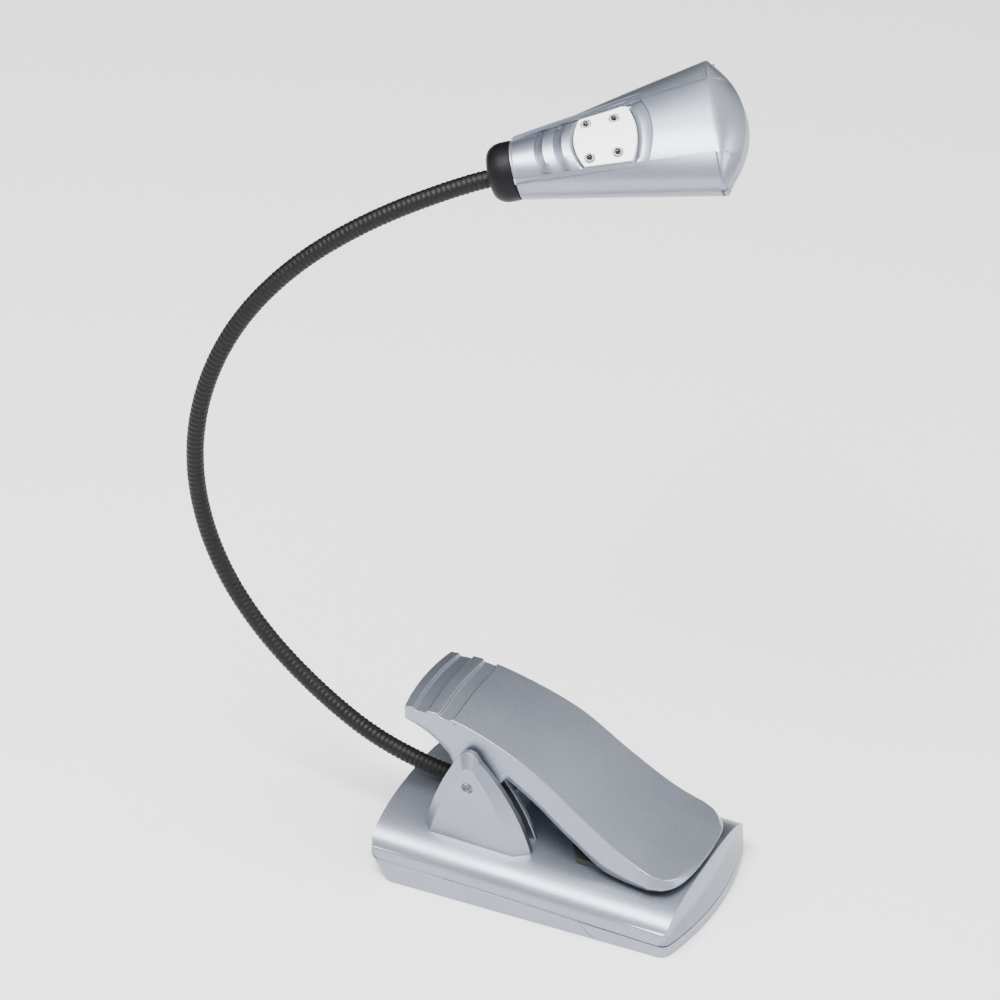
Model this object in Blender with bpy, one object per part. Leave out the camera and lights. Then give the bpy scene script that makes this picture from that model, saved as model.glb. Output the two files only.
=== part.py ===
"""Clip-on reading lamp: a sprung clip base with a battery bay, a gooseneck and a four-LED head.

Frame: origin at the middle of the base's underside, +X towards the clip's tip, +Y to the far
side, +Z up. Built in metres, with sizes written in millimetres times MM.
"""

from math import acos, atan2, cos, pi, radians, sin, sqrt

import bmesh
import bpy
from mathutils import Matrix, Vector

MM = 0.001
GAP = 0.3 * MM  # clearance between pieces that touch

# Base
BASE_LENGTH = 92.4 * MM  # between the corners of the seam
BASE_WIDTH = 59.0 * MM
END_BULGE = 4.6 * MM  # how far each end arcs out at the seam
TOP_BULGE = 0.7 * MM  # how far each end arcs out at the top edge
SEAM_NECK_END = 7.5 * MM  # seam height at the neck end
SEAM_TIP_END = 3.9 * MM  # seam height at the tip end
DOME_HEIGHT = 10.8 * MM  # top of the cover above the seam
DOME_LAND = 1.0 * MM  # upright band above the seam
DOME_POWER = 2.5  # superellipse power of the cover's section
BASE_WALL = 1.5 * MM
DECK = (SEAM_NECK_END + SEAM_TIP_END) / 2 + DOME_HEIGHT  # crown of the cover half way along
DOOR_TAPER = 4.4 * MM  # how far the underside draws in at the neck end
DOOR_SPLIT = 19.0 * MM  # the door's parting line at the seam
DOOR_SPLIT_LEAN = 6.0 * MM  # how far that line runs on towards the tip at the underside

# Clip hinge
PIN_X = -18.9 * MM
PIN_Z = DECK + 17.8 * MM
PIN_RADIUS = 1.6 * MM
PIN_RECESS = 0.9 * MM  # pin end below the bracket's face
BRACKET_FACE = 21.5 * MM  # outer face, from the middle plane
BRACKET_SHOULDER = 19.0 * MM  # where the bevel of the bracket starts
BRACKET_INSIDE = 17.2 * MM
# outlines: foot x left and right, apex x and height above the deck, side bulges, apex radius, in mm
BRACKET_ROOT = (-34.4, 0.8, -19.6, 28.9, 1.8, 2.9, 2.4)
BRACKET_EDGE = (-31.9, -4.0, -18.4, 24.7, 1.4, 2.0, 1.6)
INNER_WALL = (-32.5, 0.2, -18.8, 25.1, 1.2, 2.4, 2.4)
BRACKET_FOOT = 5.0 * MM  # foot of the outlines above the seam
INNER_WALL_OUT = 13.0 * MM
INNER_WALL_IN = 11.5 * MM
BOSS_FRONT = -27.0 * MM  # face of the boss that the neck enters
BOSS_BACK = -10.0 * MM
BOSS_TOP = DECK + 10.5 * MM

# Clip arm
ARM_START = -42.6 * MM  # thumb end, on the middle plane
ARM_END = 45.4 * MM  # jaw tip, on the middle plane
ARM_WALL = 1.8 * MM
ARM_CROWN = 0.7 * MM
ARM_DRAFT = 1.4 * MM  # how much wider the skirts are at their lower edge
# heights of the arm's top and of its skirt's edge above the deck, as (x, height) in mm
ARM_TOP = ((-43, 35.9), (-30, 36.1), (-15, 32.4), (0, 25.9), (15, 15.5), (30, 6.3), (46, 0.4))
ARM_SKIRT = (
    (-43, 32.3),
    (-36, 30.0),
    (-27, 25.0),
    (-10, 22.1),
    (0, 17.1),
    (12, 8.5),
    (24, 0.7),
    (46, -1.1),
)
ARM_THUMB_BULGE = 1.2 * MM  # how far the thumb end arcs
ARM_TIP_ARC = 8.0 * MM  # length of the rounded tip
ARM_UNDER_TIP = 1.9 * MM  # how far the skirt's edge arches up under the tip
ARM_HALF_WIDTH = ((-43, 15.4), (-20, 16.0), (0, 17.4), (20, 18.6), (34, 19.6), (46, 20.6))
EAR_OUT = 16.6 * MM
EAR_DROP = 0.6 * MM  # middle of the ear's round end below the pin
EAR_SWEEP = 0.72 * pi
# the ear's front and back edges up into the arm, as (x, height above the deck) in mm
EAR_FRONT = ((-32.0, 29.5), (-27.5, 24.5), (-24.0, 16.5))
EAR_BACK = ((-8.5, 19.7), (-6.0, 23.0), (-6.0, 27.5), (-20.0, 30.5))
ARM_SKIRT_REACH = 32 * MM  # how far the arm's hollow runs down, to part the ears
EAR_RADIUS = 5.6 * MM

# Torsion spring round the pin; leg ends and radii seen from the pin's axis
SPRING_RADIUS = 4.6 * MM
SPRING_WIRE = 0.6 * MM
SPRING_HALF = 9.4 * MM
SPRING_TURNS = 6
SPRING_BASE_LEG = 7.5 * MM
SPRING_ARM_LEG = -15.0 * MM

# Jaw pads
PAD_THICKNESS = 2.0 * MM
PAD_RECESS = 1.3 * MM  # how far the lower pad sits into the cover
PAD_BACK = 9.5 * MM
PAD_FRONT = 41.0 * MM
PAD_HALF_WIDTH = 17.0 * MM
PAD_CORNER = (3.9 * MM, 5.1 * MM)  # cut off each corner, along and across
PAD_FLOOR = 3.4 * MM  # how thick the cover is under the pad, from the crown
ARM_PAD_BACK = 33.0 * MM
ARM_PAD_HALF_WIDTH = 12.6 * MM

# Cells (AAA) and their tray
CELL_RADIUS = 5.25 * MM
CELL_LENGTH = 43.7 * MM
NUB_RADIUS = 1.9 * MM
NUB_LENGTH = 0.8 * MM
CELL_PITCH = 12.0 * MM
CELL_COUNT = 3
CELL_START = -39.0 * MM
CONTACT_SPACE = 4.0 * MM
TRAY_WALL = 1.2 * MM
TRAY_TOP = 0.9 * MM

# Gooseneck: circular bends from the boss to the collar, as (length in mm, bend in degrees)
NECK_RADIUS = 2.6 * MM
NECK_SIDES = 14
NECK_START_Z = DECK + 4.1 * MM
NECK_START_TILT = 2.0
NECK_RISING = ((26, 16), (16, 13), (26, 11.5), (20, 12), (46.7, 35.5))
NECK_RETURN = ((60.7, 41), (24, 13.5), (24, 9.5), (22, 6), (6.4, 5.1))
NECK_IN_BOSS = 11.5 * MM
NECK_SWING = 21.7  # turn of the upper half towards the far side, degrees
NECK_JOINTS = (22, 66, 110, 154, 198, 242)  # distances from the boss in mm
NECK_IN_COLLAR = 6.4 * MM
NECK_END_GAP = 0.9 * MM  # from the neck's end in the collar to the head
NECK_STEP = 5.0 * MM  # between rings
FERRULE_WALL = 0.9 * MM
FERRULE_OUT = 2.0 * MM
FERRULE_IN = 4.0 * MM

# Head
COLLAR_LENGTH = 7.6 * MM
COLLAR_BACK_RADIUS = 4.9 * MM
COLLAR_SHOULDER = 4.6 * MM
HEAD_NECK_RADIUS = 8.35 * MM
HEAD_LENGTH = 56.0 * MM  # to where the end starts to arc
HEAD_BULGE = 8.2 * MM
HEAD_HALF_WIDTH = 20.3 * MM
HEAD_HALF_DEPTH = 9.5 * MM
HEAD_WALL = 1.6 * MM
HEAD_POWER = 2.5  # superellipse power of the section at the wide end
HEAD_STATIONS = 8
HEAD_STEP = 0.4 * MM  # length of the step down at the end of the cheeks
HEAD_END_SHARE = 0.3  # depth left at the end's edge
HEAD_ROLL = 33.2  # turn of the lit side from straight up, degrees
HEAD_SPLIT = -4.0 * MM  # joint between the two shells
NECK_OFFSET = 1.5 * MM  # the neck enters below the middle of the collar
CHANNEL_START = 0.5 * MM
CHANNEL_DEPTH = 1.3 * MM
CHANNEL_NECK_HALF = 6.2 * MM
CHANNEL_END_HALF = 11.8 * MM
WINDOW_START = 17.3 * MM
WINDOW_END = 35.6 * MM
WINDOW_BULGE = 2.2 * MM
WINDOW_MARGIN = 0.6 * MM
FLUTES = (6.5 * MM, 11.9 * MM)
FLUTE_WIDTH = 2.2 * MM
FLUTE_BULGE = 1.3 * MM
FLUTE_DEPTH = 0.7 * MM
FLUTE_MARGIN = 0.4 * MM
PANEL_TOP = 7.6 * MM
PANEL_CROWN = 0.7 * MM
PANEL_FLANGE = 1.2 * MM
PANEL_FLANGE_HALF = 5.0 * MM
PANEL_FLANGE_TOP = 4.7 * MM
PANEL_FLANGE_BASE = 3.95 * MM
PANEL_BASE = 4.2 * MM
LED_RADIUS = 1.5 * MM
LED_PLACES = ((21.6, 5.25), (29.5, 5.25), (21.6, -5.25), (29.5, -5.25))
BOARD_TOP = 3.6 * MM
BOARD_THICKNESS = 1.2 * MM
BOARD_START = 14.0 * MM
BOARD_END = 41.0 * MM
BOARD_HALF_WIDTH = 7.2 * MM
SWITCH_HALF = 3.4 * MM
SWITCH_BASE = -3.0 * MM
LEAD_RADIUS = 0.7 * MM
LEAD_SIDE = 4.4 * MM
BUTTON_RADIUS = 3.4 * MM
BUTTON_PLACE = 27.0 * MM
BUTTON_TRAVEL = 1.0 * MM
BUTTON_FLANGE = 0.9 * MM
BUTTON_PROUD = 0.3 * MM  # left above the back when the button is pressed home

# Screws
SCREW_SHAFT = 1.2 * MM
SCREW_HEAD = 2.3 * MM
SCREW_HEAD_HEIGHT = 1.3 * MM
BASE_SCREW_X = 34.0 * MM
BASE_SCREW_Y = 17.0 * MM
HEAD_SCREWS = (9.0 * MM, 46.5 * MM)
POST_RADIUS = 2.6 * MM
SCREW_SUNK = 2.2 * MM  # underside of a screw's head below the back of the lamp head

MATERIALS = {
    "silver_paint": ((0.62, 0.63, 0.66), 0.38, 0.55),
    "black_rubber": ((0.02, 0.02, 0.022), 0.75, 0.0),
    "black_plastic": ((0.03, 0.03, 0.032), 0.45, 0.0),
    "neck_coil": ((0.02, 0.02, 0.021), 0.5, 0.3),
    "white_plastic": ((0.86, 0.86, 0.86), 0.4, 0.0),
    "clear_lens": ((0.9, 0.92, 0.95), 0.08, 0.0),
    "steel": ((0.62, 0.6, 0.56), 0.28, 1.0),
    "circuit_board": ((0.05, 0.22, 0.1), 0.5, 0.0),
    "cell_jacket": ((0.08, 0.09, 0.11), 0.35, 0.2),
    "lead_jacket": ((0.3, 0.02, 0.02), 0.5, 0.0),
}


# Helpers


def clear_scene():
    for obj in list(bpy.data.objects):
        bpy.data.objects.remove(obj)


def make_materials():
    for name, (color, roughness, metallic) in MATERIALS.items():
        material = bpy.data.materials.new(name)
        material.use_nodes = True
        shader = material.node_tree.nodes["Principled BSDF"]
        shader.inputs["Base Color"].default_value = (*color, 1)
        shader.inputs["Roughness"].default_value = roughness
        shader.inputs["Metallic"].default_value = metallic


def add(name, bm, material="silver_paint", smooth=None):
    """A new object from a bmesh, in the frame that the bmesh was built in."""
    bmesh.ops.remove_doubles(bm, verts=bm.verts, dist=1e-6)
    bmesh.ops.recalc_face_normals(bm, faces=bm.faces)
    mesh = bpy.data.meshes.new(name)
    bm.to_mesh(mesh)
    bm.free()
    if smooth is not None:
        mesh.shade_smooth()
        mesh.set_sharp_from_angle(angle=radians(smooth))
    obj = bpy.data.objects.new(name, mesh)
    bpy.context.scene.collection.objects.link(obj)
    mesh.materials.append(bpy.data.materials[material])
    return obj


def boolean(obj, tool, operation="DIFFERENCE"):
    """Cuts obj with a tool object, or joins the tool to it. The tool stays as a hidden guide."""
    tool.hide_render = True
    tool.display_type = "WIRE"
    modifier = obj.modifiers.new(operation.lower(), "BOOLEAN")
    modifier.operation = operation
    modifier.solver = "EXACT"
    modifier.object = tool
    return obj


def block(along, across, top, bottom):
    """A closed solid between two surfaces, each a function of u and v from -1 to 1."""
    bm = bmesh.new()
    bmesh.ops.create_grid(bm, x_segments=along, y_segments=across, size=1)
    geometry = list(bm.faces) + list(bm.edges) + list(bm.verts)
    made = bmesh.ops.extrude_face_region(bm, geom=geometry, use_keep_orig=True)["geom"]
    lower = [v for v in made if isinstance(v, bmesh.types.BMVert)]
    for vert in lower:
        vert.co.z = -1
    for vert in bm.verts:
        surface = bottom if vert.co.z < -0.5 else top
        vert.co = Vector(surface(vert.co.x, vert.co.y))
    return bm


def prism(outline, low, high, axis="Y"):
    """An outline of (first, second) points, extruded along an axis from low to high."""
    bm = bmesh.new()
    place = {
        "X": lambda p, depth: (depth, p[0], p[1]),
        "Y": lambda p, depth: (p[0], depth, p[1]),
        "Z": lambda p, depth: (p[0], p[1], depth),
    }[axis]
    verts = [bm.verts.new(place(point, low)) for point in outline]
    face = bm.faces.new(verts)
    made = bmesh.ops.extrude_face_region(bm, geom=[face], use_keep_orig=True)["geom"]
    shift = Vector(place((0, 0), high - low))
    bmesh.ops.translate(bm, verts=[v for v in made if isinstance(v, bmesh.types.BMVert)], vec=shift)
    return bm


def box(low, high):
    bm = bmesh.new()
    bmesh.ops.create_cube(bm, size=1)
    low, high = Vector(low), Vector(high)
    for vert in bm.verts:
        vert.co = Vector([low[i] + (vert.co[i] + 0.5) * (high[i] - low[i]) for i in range(3)])
    return bm


def cylinder(start, end, radius, sides=24, end_radius=None):
    start, end = Vector(start), Vector(end)
    bm = bmesh.new()
    bmesh.ops.create_cone(
        bm,
        cap_ends=True,
        segments=sides,
        radius1=radius,
        radius2=radius if end_radius is None else end_radius,
        depth=(end - start).length,
    )
    turn = Vector((0, 0, 1)).rotation_difference(end - start).to_matrix().to_4x4()
    bmesh.ops.transform(bm, matrix=Matrix.Translation((start + end) / 2) @ turn, verts=bm.verts)
    return bm


def turned(profile, sides=32):
    """A solid turned about the X axis from (x, radius) points that start and end on the axis."""
    bm = bmesh.new()
    verts = [bm.verts.new((x, 0, radius)) for x, radius in profile]
    for first, second in zip(verts, verts[1:]):
        bm.edges.new((first, second))
    bmesh.ops.spin(
        bm,
        geom=list(bm.verts) + list(bm.edges),
        cent=(0, 0, 0),
        axis=(1, 0, 0),
        angle=2 * pi,
        steps=sides,
        use_merge=True,
    )
    return bm


def wire(name, points, radius, material, sides=8):
    """A round wire through points, with flat ends."""
    points = [Vector(point) for point in points]
    bm = bmesh.new()
    rings = []
    across = None
    for index, point in enumerate(points):
        before, after = points[max(index - 1, 0)], points[min(index + 1, len(points) - 1)]
        forward = (after - before).normalized()
        if across is None:
            across = forward.orthogonal().normalized()
        across = (across - forward * across.dot(forward)).normalized()
        other = forward.cross(across)
        ring = []
        for side in range(sides):
            turn = 2 * pi * side / sides
            ring.append(bm.verts.new(point + radius * (across * cos(turn) + other * sin(turn))))
        rings.append(ring)
    for ring, following in zip(rings, rings[1:]):
        for i in range(sides):
            j = (i + 1) % sides
            bm.faces.new((ring[i], ring[j], following[j], following[i]))
    bm.faces.new(rings[0])
    bm.faces.new(rings[-1])
    return add(name, bm, material, 50)


def arc_points(first, last, bulge, count):
    """Points from first to last on an arc that stands bulge to the left of the straight line."""
    first, last = Vector(first), Vector(last)
    side = Vector((-(last - first).y, (last - first).x)).normalized()
    points = []
    for step in range(count + 1):
        share = step / count
        points.append(first.lerp(last, share) + side * bulge * 4 * share * (1 - share))
    return points


def smooth_value(points, x):
    """A smooth curve (Catmull-Rom) through a few (x, value) points in mm, read in metres."""
    x = x / MM
    x = min(max(x, points[0][0]), points[-1][0])
    index = 0
    while index < len(points) - 2 and x > points[index + 1][0]:
        index += 1

    def slope(i):
        before, after = points[max(i - 1, 0)], points[min(i + 1, len(points) - 1)]
        return (after[1] - before[1]) / (after[0] - before[0])

    (x0, y0), (x1, y1) = points[index], points[index + 1]
    span = x1 - x0
    t = (x - x0) / span
    first = (2 * t**3 - 3 * t**2 + 1) * y0 + (t**3 - 2 * t**2 + t) * span * slope(index)
    second = (3 * t**2 - 2 * t**3) * y1 + (t**3 - t**2) * span * slope(index + 1)
    return (first + second) * MM


def pivot(name, matrix, parent=None):
    """An empty at a joint. Its place in the world is kept in its matrix_basis."""
    obj = bpy.data.objects.new(name, None)
    obj.empty_display_size = 0.01
    bpy.context.scene.collection.objects.link(obj)
    obj.matrix_basis = matrix
    if parent is not None:
        hang(obj, parent)
    return obj


def hang(obj, parent):
    """Parents obj to a pivot and leaves it where it is."""
    obj.parent = parent
    obj.matrix_parent_inverse = parent.matrix_basis.inverted()


# Shapes of the base


def seam_height(x):
    share = (x + BASE_LENGTH / 2) / BASE_LENGTH
    return SEAM_NECK_END + (SEAM_TIP_END - SEAM_NECK_END) * share


def dome_point(v, inset=0.0):
    """Across the cover's section for v from -1 to 1: distance from the middle, and rise above the seam."""
    turn = v * pi / 2
    half = BASE_WIDTH / 2 - inset
    y = half * abs(sin(turn)) ** (2 / DOME_POWER) * (1 if v > 0 else -1)
    rise = (DOME_HEIGHT - inset - DOME_LAND) * max(cos(turn), 0) ** (2 / DOME_POWER)
    return y, DOME_LAND + rise


def dome_rise(y, inset=0.0):
    """Rise of the cover above the seam at a distance y from the middle plane."""
    share = min(abs(y) / (BASE_WIDTH / 2 - inset), 1)
    return DOME_LAND + (DOME_HEIGHT - inset - DOME_LAND) * (1 - share**DOME_POWER) ** (1 / DOME_POWER)


def end_x(y, bulge):
    return BASE_LENGTH / 2 + bulge * (1 - (2 * y / BASE_WIDTH) ** 2)


def cover_height(x, y=0.0):
    return seam_height(x) + dome_rise(y)


def cover_block(inset, drop):
    """The cover's outer form, or its hollow where inset is the wall and drop runs it past the seam."""

    def top(u, v):
        y, rise = dome_point(v, inset)
        x = u * (end_x(y, TOP_BULGE) - inset)
        return x, y, seam_height(x) + rise

    def bottom(u, v):
        y = dome_point(v, inset)[0]
        x = u * (end_x(y, END_BULGE) - inset)
        return x, y, seam_height(x) - drop

    return block(1, 22, top, bottom)


def foot_block(inset, floor, rise):
    """The underside's outer form, or its hollow: from floor up to the seam plus rise."""

    def place(u, v, z_share):
        y = (BASE_WIDTH / 2 - inset) * v
        x = u * (end_x(y, END_BULGE) - inset)
        if u < 0:
            x += DOOR_TAPER * (1 - z_share)
        return x, y

    def top(u, v):
        x, y = place(u, v, 1)
        return x, y, seam_height(x) + rise

    def bottom(u, v):
        x, y = place(u, v, floor / SEAM_NECK_END)
        return x, y, floor

    return block(1, 14, top, bottom)


def bracket_outline(sizes):
    """A rounded triangle in X and Z: bulging sides and a rounded apex."""
    foot_left, foot_right, apex_x, apex_rise, left_bulge, right_bulge, tip = [size * MM for size in sizes]
    foot_z = seam_height(PIN_X) + BRACKET_FOOT
    apex_z = DECK + apex_rise
    left = arc_points((foot_left, foot_z), (apex_x - tip, apex_z - 0.8 * tip), left_bulge, 6)
    right = arc_points((apex_x + tip, apex_z - 0.8 * tip), (foot_right, foot_z), right_bulge, 8)
    crown = []
    for step in range(1, 4):
        turn = pi - step * pi / 4
        crown.append(Vector((apex_x + tip * 0.85 * cos(turn), apex_z - 0.8 * tip + 0.8 * tip * sin(turn))))
    return left + crown + right


def bracket(side):
    """One outer bracket: straight near the arm, then bevelled in to its face."""
    root, face = bracket_outline(BRACKET_ROOT), bracket_outline(BRACKET_EDGE)
    bm = bmesh.new()
    rings = []
    for outline, depth in ((root, BRACKET_INSIDE), (root, BRACKET_SHOULDER), (face, BRACKET_FACE)):
        rings.append([bm.verts.new((p.x, side * depth, p.y)) for p in outline])
    bm.faces.new(rings[0])
    bm.faces.new(rings[-1])
    for ring, following in zip(rings, rings[1:]):
        for i in range(len(ring)):
            j = (i + 1) % len(ring)
            bm.faces.new((ring[i], ring[j], following[j], following[i]))
    return bm


def split_prism(keep_tip, clearance):
    """A prism that takes away one side of the door's diagonal parting line."""
    high, low = DOOR_SPLIT + clearance, DOOR_SPLIT + DOOR_SPLIT_LEAN + clearance
    z_high, z_low = 20 * MM, -5 * MM
    seam = seam_height(DOOR_SPLIT)
    slope = (low - high) / seam
    x_high = high - slope * (z_high - seam)
    x_low = high + slope * (seam - z_low)
    edge = 80 * MM if keep_tip else -80 * MM
    outline = [(x_high, z_high), (edge, z_high), (edge, z_low), (x_low, z_low)]
    return prism(outline, -BASE_WIDTH, BASE_WIDTH)


# Base


def make_base_cover():
    cover = add("base_upper_shell", cover_block(0.0, 0.0), smooth=35)
    for number, side in enumerate((-1, 1)):
        boolean(cover, add(f"bracket_{number}", bracket(side)), "UNION")
        low, high = sorted((side * INNER_WALL_IN, side * INNER_WALL_OUT))
        boolean(cover, add(f"inner_wall_{number}", prism(bracket_outline(INNER_WALL), low, high)), "UNION")
    floor = seam_height(PIN_X) + BRACKET_FOOT + 1 * MM
    wall_middle = (INNER_WALL_IN + INNER_WALL_OUT) / 2
    boss = box((BOSS_FRONT, -wall_middle, floor), (BOSS_BACK, wall_middle, BOSS_TOP))
    boolean(cover, add("neck_boss", boss), "UNION")
    boolean(cover, add("cover_hollow", cover_block(BASE_WALL, 2 * MM)))
    for number, (x, y) in enumerate(base_screw_places()):
        post = cylinder((x, y, seam_height(x) + GAP), (x, y, cover_height(x, y) - 0.6 * MM), 2.8 * MM)
        boolean(cover, add(f"cover_post_{number}", post), "UNION")
        pilot = cylinder((x, y, 0), (x, y, seam_height(x) + 5.6 * MM), SCREW_SHAFT + GAP, 16)
        boolean(cover, add(f"cover_pilot_{number}", pilot))
    pin_bore = cylinder((PIN_X, -30 * MM, PIN_Z), (PIN_X, 30 * MM, PIN_Z), PIN_RADIUS + GAP)
    boolean(cover, add("pin_bore", pin_bore))
    ferrule_bore = cylinder(
        (BOSS_FRONT - 5 * MM, 0, NECK_START_Z),
        (BOSS_FRONT + FERRULE_IN + GAP, 0, NECK_START_Z),
        NECK_RADIUS + FERRULE_WALL + GAP,
    )
    boolean(cover, add("ferrule_seat", ferrule_bore))
    back = -NECK_IN_BOSS - 3.6 * MM
    neck_bore = [(back, 0, 0), (back, 0, NECK_RADIUS + GAP), (5 * MM, 0, NECK_RADIUS + GAP), (5 * MM, 0, 0)]
    boolean(cover, add("neck_bore", swept(neck_bore)))
    lead_hole = cylinder((lead_x(), 0, NECK_START_Z), (lead_x(), 0, 8 * MM), 1.6 * MM, 16)
    boolean(cover, add("lead_hole", lead_hole))
    boolean(cover, add("pad_floor", pad_block(1.2 * MM, -PAD_FLOOR, -0.5 * MM)), "UNION")
    boolean(cover, add("pad_recess", pad_block(GAP, -PAD_RECESS - GAP, 6 * MM)))
    return cover


def base_screw_places():
    return [(BASE_SCREW_X, -BASE_SCREW_Y), (BASE_SCREW_X, BASE_SCREW_Y)]


def lead_x():
    return BOSS_BACK - 3.4 * MM


def make_foot():
    """The underside in two pieces that meet on the diagonal parting line."""
    foot = add("base_lower_shell", foot_block(0.0, 0.0, -GAP), smooth=35)
    boolean(foot, add("foot_hollow", foot_block(BASE_WALL, BASE_WALL, 5 * MM)))
    for number, (x, y) in enumerate(base_screw_places()):
        post = cylinder((x, y, 0.5 * MM), (x, y, seam_height(x) - GAP), 3.4 * MM)
        boolean(foot, add(f"foot_post_{number}", post), "UNION")
        bore = cylinder((x, y, -1 * MM), (x, y, 10 * MM), SCREW_SHAFT + GAP, 16)
        boolean(foot, add(f"foot_bore_{number}", bore))
        seat = cylinder((x, y, -1 * MM), (x, y, SCREW_HEAD_HEIGHT + 2 * GAP), SCREW_HEAD + GAP)
        boolean(foot, add(f"screw_seat_{number}", seat))
    boolean(foot, add("tip_split", split_prism(False, 0.0)))
    door = add("battery_door", foot_block(0.0, 0.0, -GAP), smooth=35)
    boolean(door, add("door_hollow", foot_block(BASE_WALL, BASE_WALL, 5 * MM)))
    boolean(door, add("door_split", split_prism(True, -GAP)))
    slide = pivot("door_slide", Matrix.Translation((-BASE_LENGTH / 2, 0, SEAM_NECK_END / 2)))
    hang(door, slide)
    for number, (x, y) in enumerate(base_screw_places()):
        base = SCREW_HEAD_HEIGHT + GAP
        screw = add(
            f"base_screw_{number + 1}",
            cylinder((x, y, GAP), (x, y, base), SCREW_HEAD),
            "steel",
            smooth=35,
        )
        shaft = cylinder((x, y, base - 0.4 * MM), (x, y, seam_height(x) + 5.2 * MM), SCREW_SHAFT, 12)
        boolean(screw, add(f"screw_shaft_{number}", shaft), "UNION")


# Cells and tray


def cell_z():
    return BASE_WALL + GAP + CELL_RADIUS


def cell_rows():
    return [(number - (CELL_COUNT - 1) / 2) * CELL_PITCH for number in range(CELL_COUNT)]


def tray_ends():
    """Inner faces of the tray's end walls."""
    return CELL_START - CONTACT_SPACE, CELL_START + CELL_LENGTH + NUB_LENGTH + 1.2 * MM


def make_tray():
    start, end = tray_ends()
    top = cell_z() + CELL_RADIUS + GAP
    half = CELL_PITCH * CELL_COUNT / 2 + GAP
    low = cell_z() - 2.2 * MM
    corner = 4.5 * MM
    outline = [
        (-half - TRAY_WALL, low),
        (half + TRAY_WALL, low),
        (half + TRAY_WALL, top + TRAY_TOP - corner),
        (half + TRAY_WALL - corner, top + TRAY_TOP),
        (-half - TRAY_WALL + corner, top + TRAY_TOP),
        (-half - TRAY_WALL, top + TRAY_TOP - corner),
    ]
    tray = add("battery_tray", prism(outline, start - TRAY_WALL, end + TRAY_WALL, "X"), "black_plastic", 35)
    for number, y in enumerate(cell_rows()):
        bay_half = CELL_PITCH / 2 - TRAY_WALL / 4
        bay = [(y - bay_half, low - 1 * MM), (y + bay_half, low - 1 * MM)]
        for step in range(9):
            turn = step * pi / 8
            bay.append((y + bay_half * cos(turn), cell_z() + bay_half * sin(turn)))
        boolean(tray, add(f"bay_{number}", prism(bay, start, end, "X")))
    return tray


def make_cells():
    for number, y in enumerate(cell_rows()):
        end = CELL_START + CELL_LENGTH
        profile = [
            (CELL_START, 0),
            (CELL_START, CELL_RADIUS - 0.5 * MM),
            (CELL_START + 0.5 * MM, CELL_RADIUS),
            (end - 0.5 * MM, CELL_RADIUS),
            (end, CELL_RADIUS - 0.5 * MM),
            (end, NUB_RADIUS),
            (end + NUB_LENGTH, NUB_RADIUS),
            (end + NUB_LENGTH, 0),
        ]
        bm = turned(profile, 20)
        bmesh.ops.translate(bm, verts=bm.verts, vec=(0, y, cell_z()))
        add(f"cell_{number + 1}", bm, "cell_jacket", 35)
        start, stop = tray_ends()
        turns, steps = 3.0, 8
        points = []
        for step in range(int(turns * steps) + 1):
            share = step / (turns * steps)
            radius = (3.6 - 1.9 * share) * MM
            turn = 2 * pi * turns * share
            x = start + 0.65 * MM + share * (CONTACT_SPACE - 1.3 * MM)
            points.append((x, y + radius * cos(turn), cell_z() + radius * sin(turn)))
        wire(f"contact_spring_{number + 1}", points, 0.35 * MM, "steel")
        plate = box(
            (stop - 0.75 * MM, y - 3.2 * MM, cell_z() - 2.2 * MM),
            (stop - GAP, y + 3.2 * MM, cell_z() + 3.0 * MM),
        )
        add(f"contact_plate_{number + 1}", plate, "steel")


# Clip arm


def arm_point(u, v, inset, level):
    """A point of the arm: u along, v across, inset from the outer form, level top or skirt."""
    tip = 1 - min(abs(v), 1) ** 3
    thumb_x = ARM_START + ARM_THUMB_BULGE * v * v + inset
    tip_x = ARM_END - ARM_TIP_ARC * (1 - sqrt(max(tip, 0))) - inset
    x = thumb_x + (u + 1) / 2 * (tip_x - thumb_x)
    half = smooth_value(ARM_HALF_WIDTH, x) - inset
    crown = ARM_CROWN * (1 - v * v)
    if level == "top":
        return x, v * half, DECK + smooth_value(ARM_TOP, x) - inset + crown
    half += ARM_DRAFT * min(max((x + 15 * MM) / (25 * MM), 0), 1)
    arch = ARM_UNDER_TIP * (1 - v * v) * min(max((x - 20 * MM) / (20 * MM), 0), 1)
    return x, v * half, DECK + smooth_value(ARM_SKIRT, x) + arch


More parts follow.
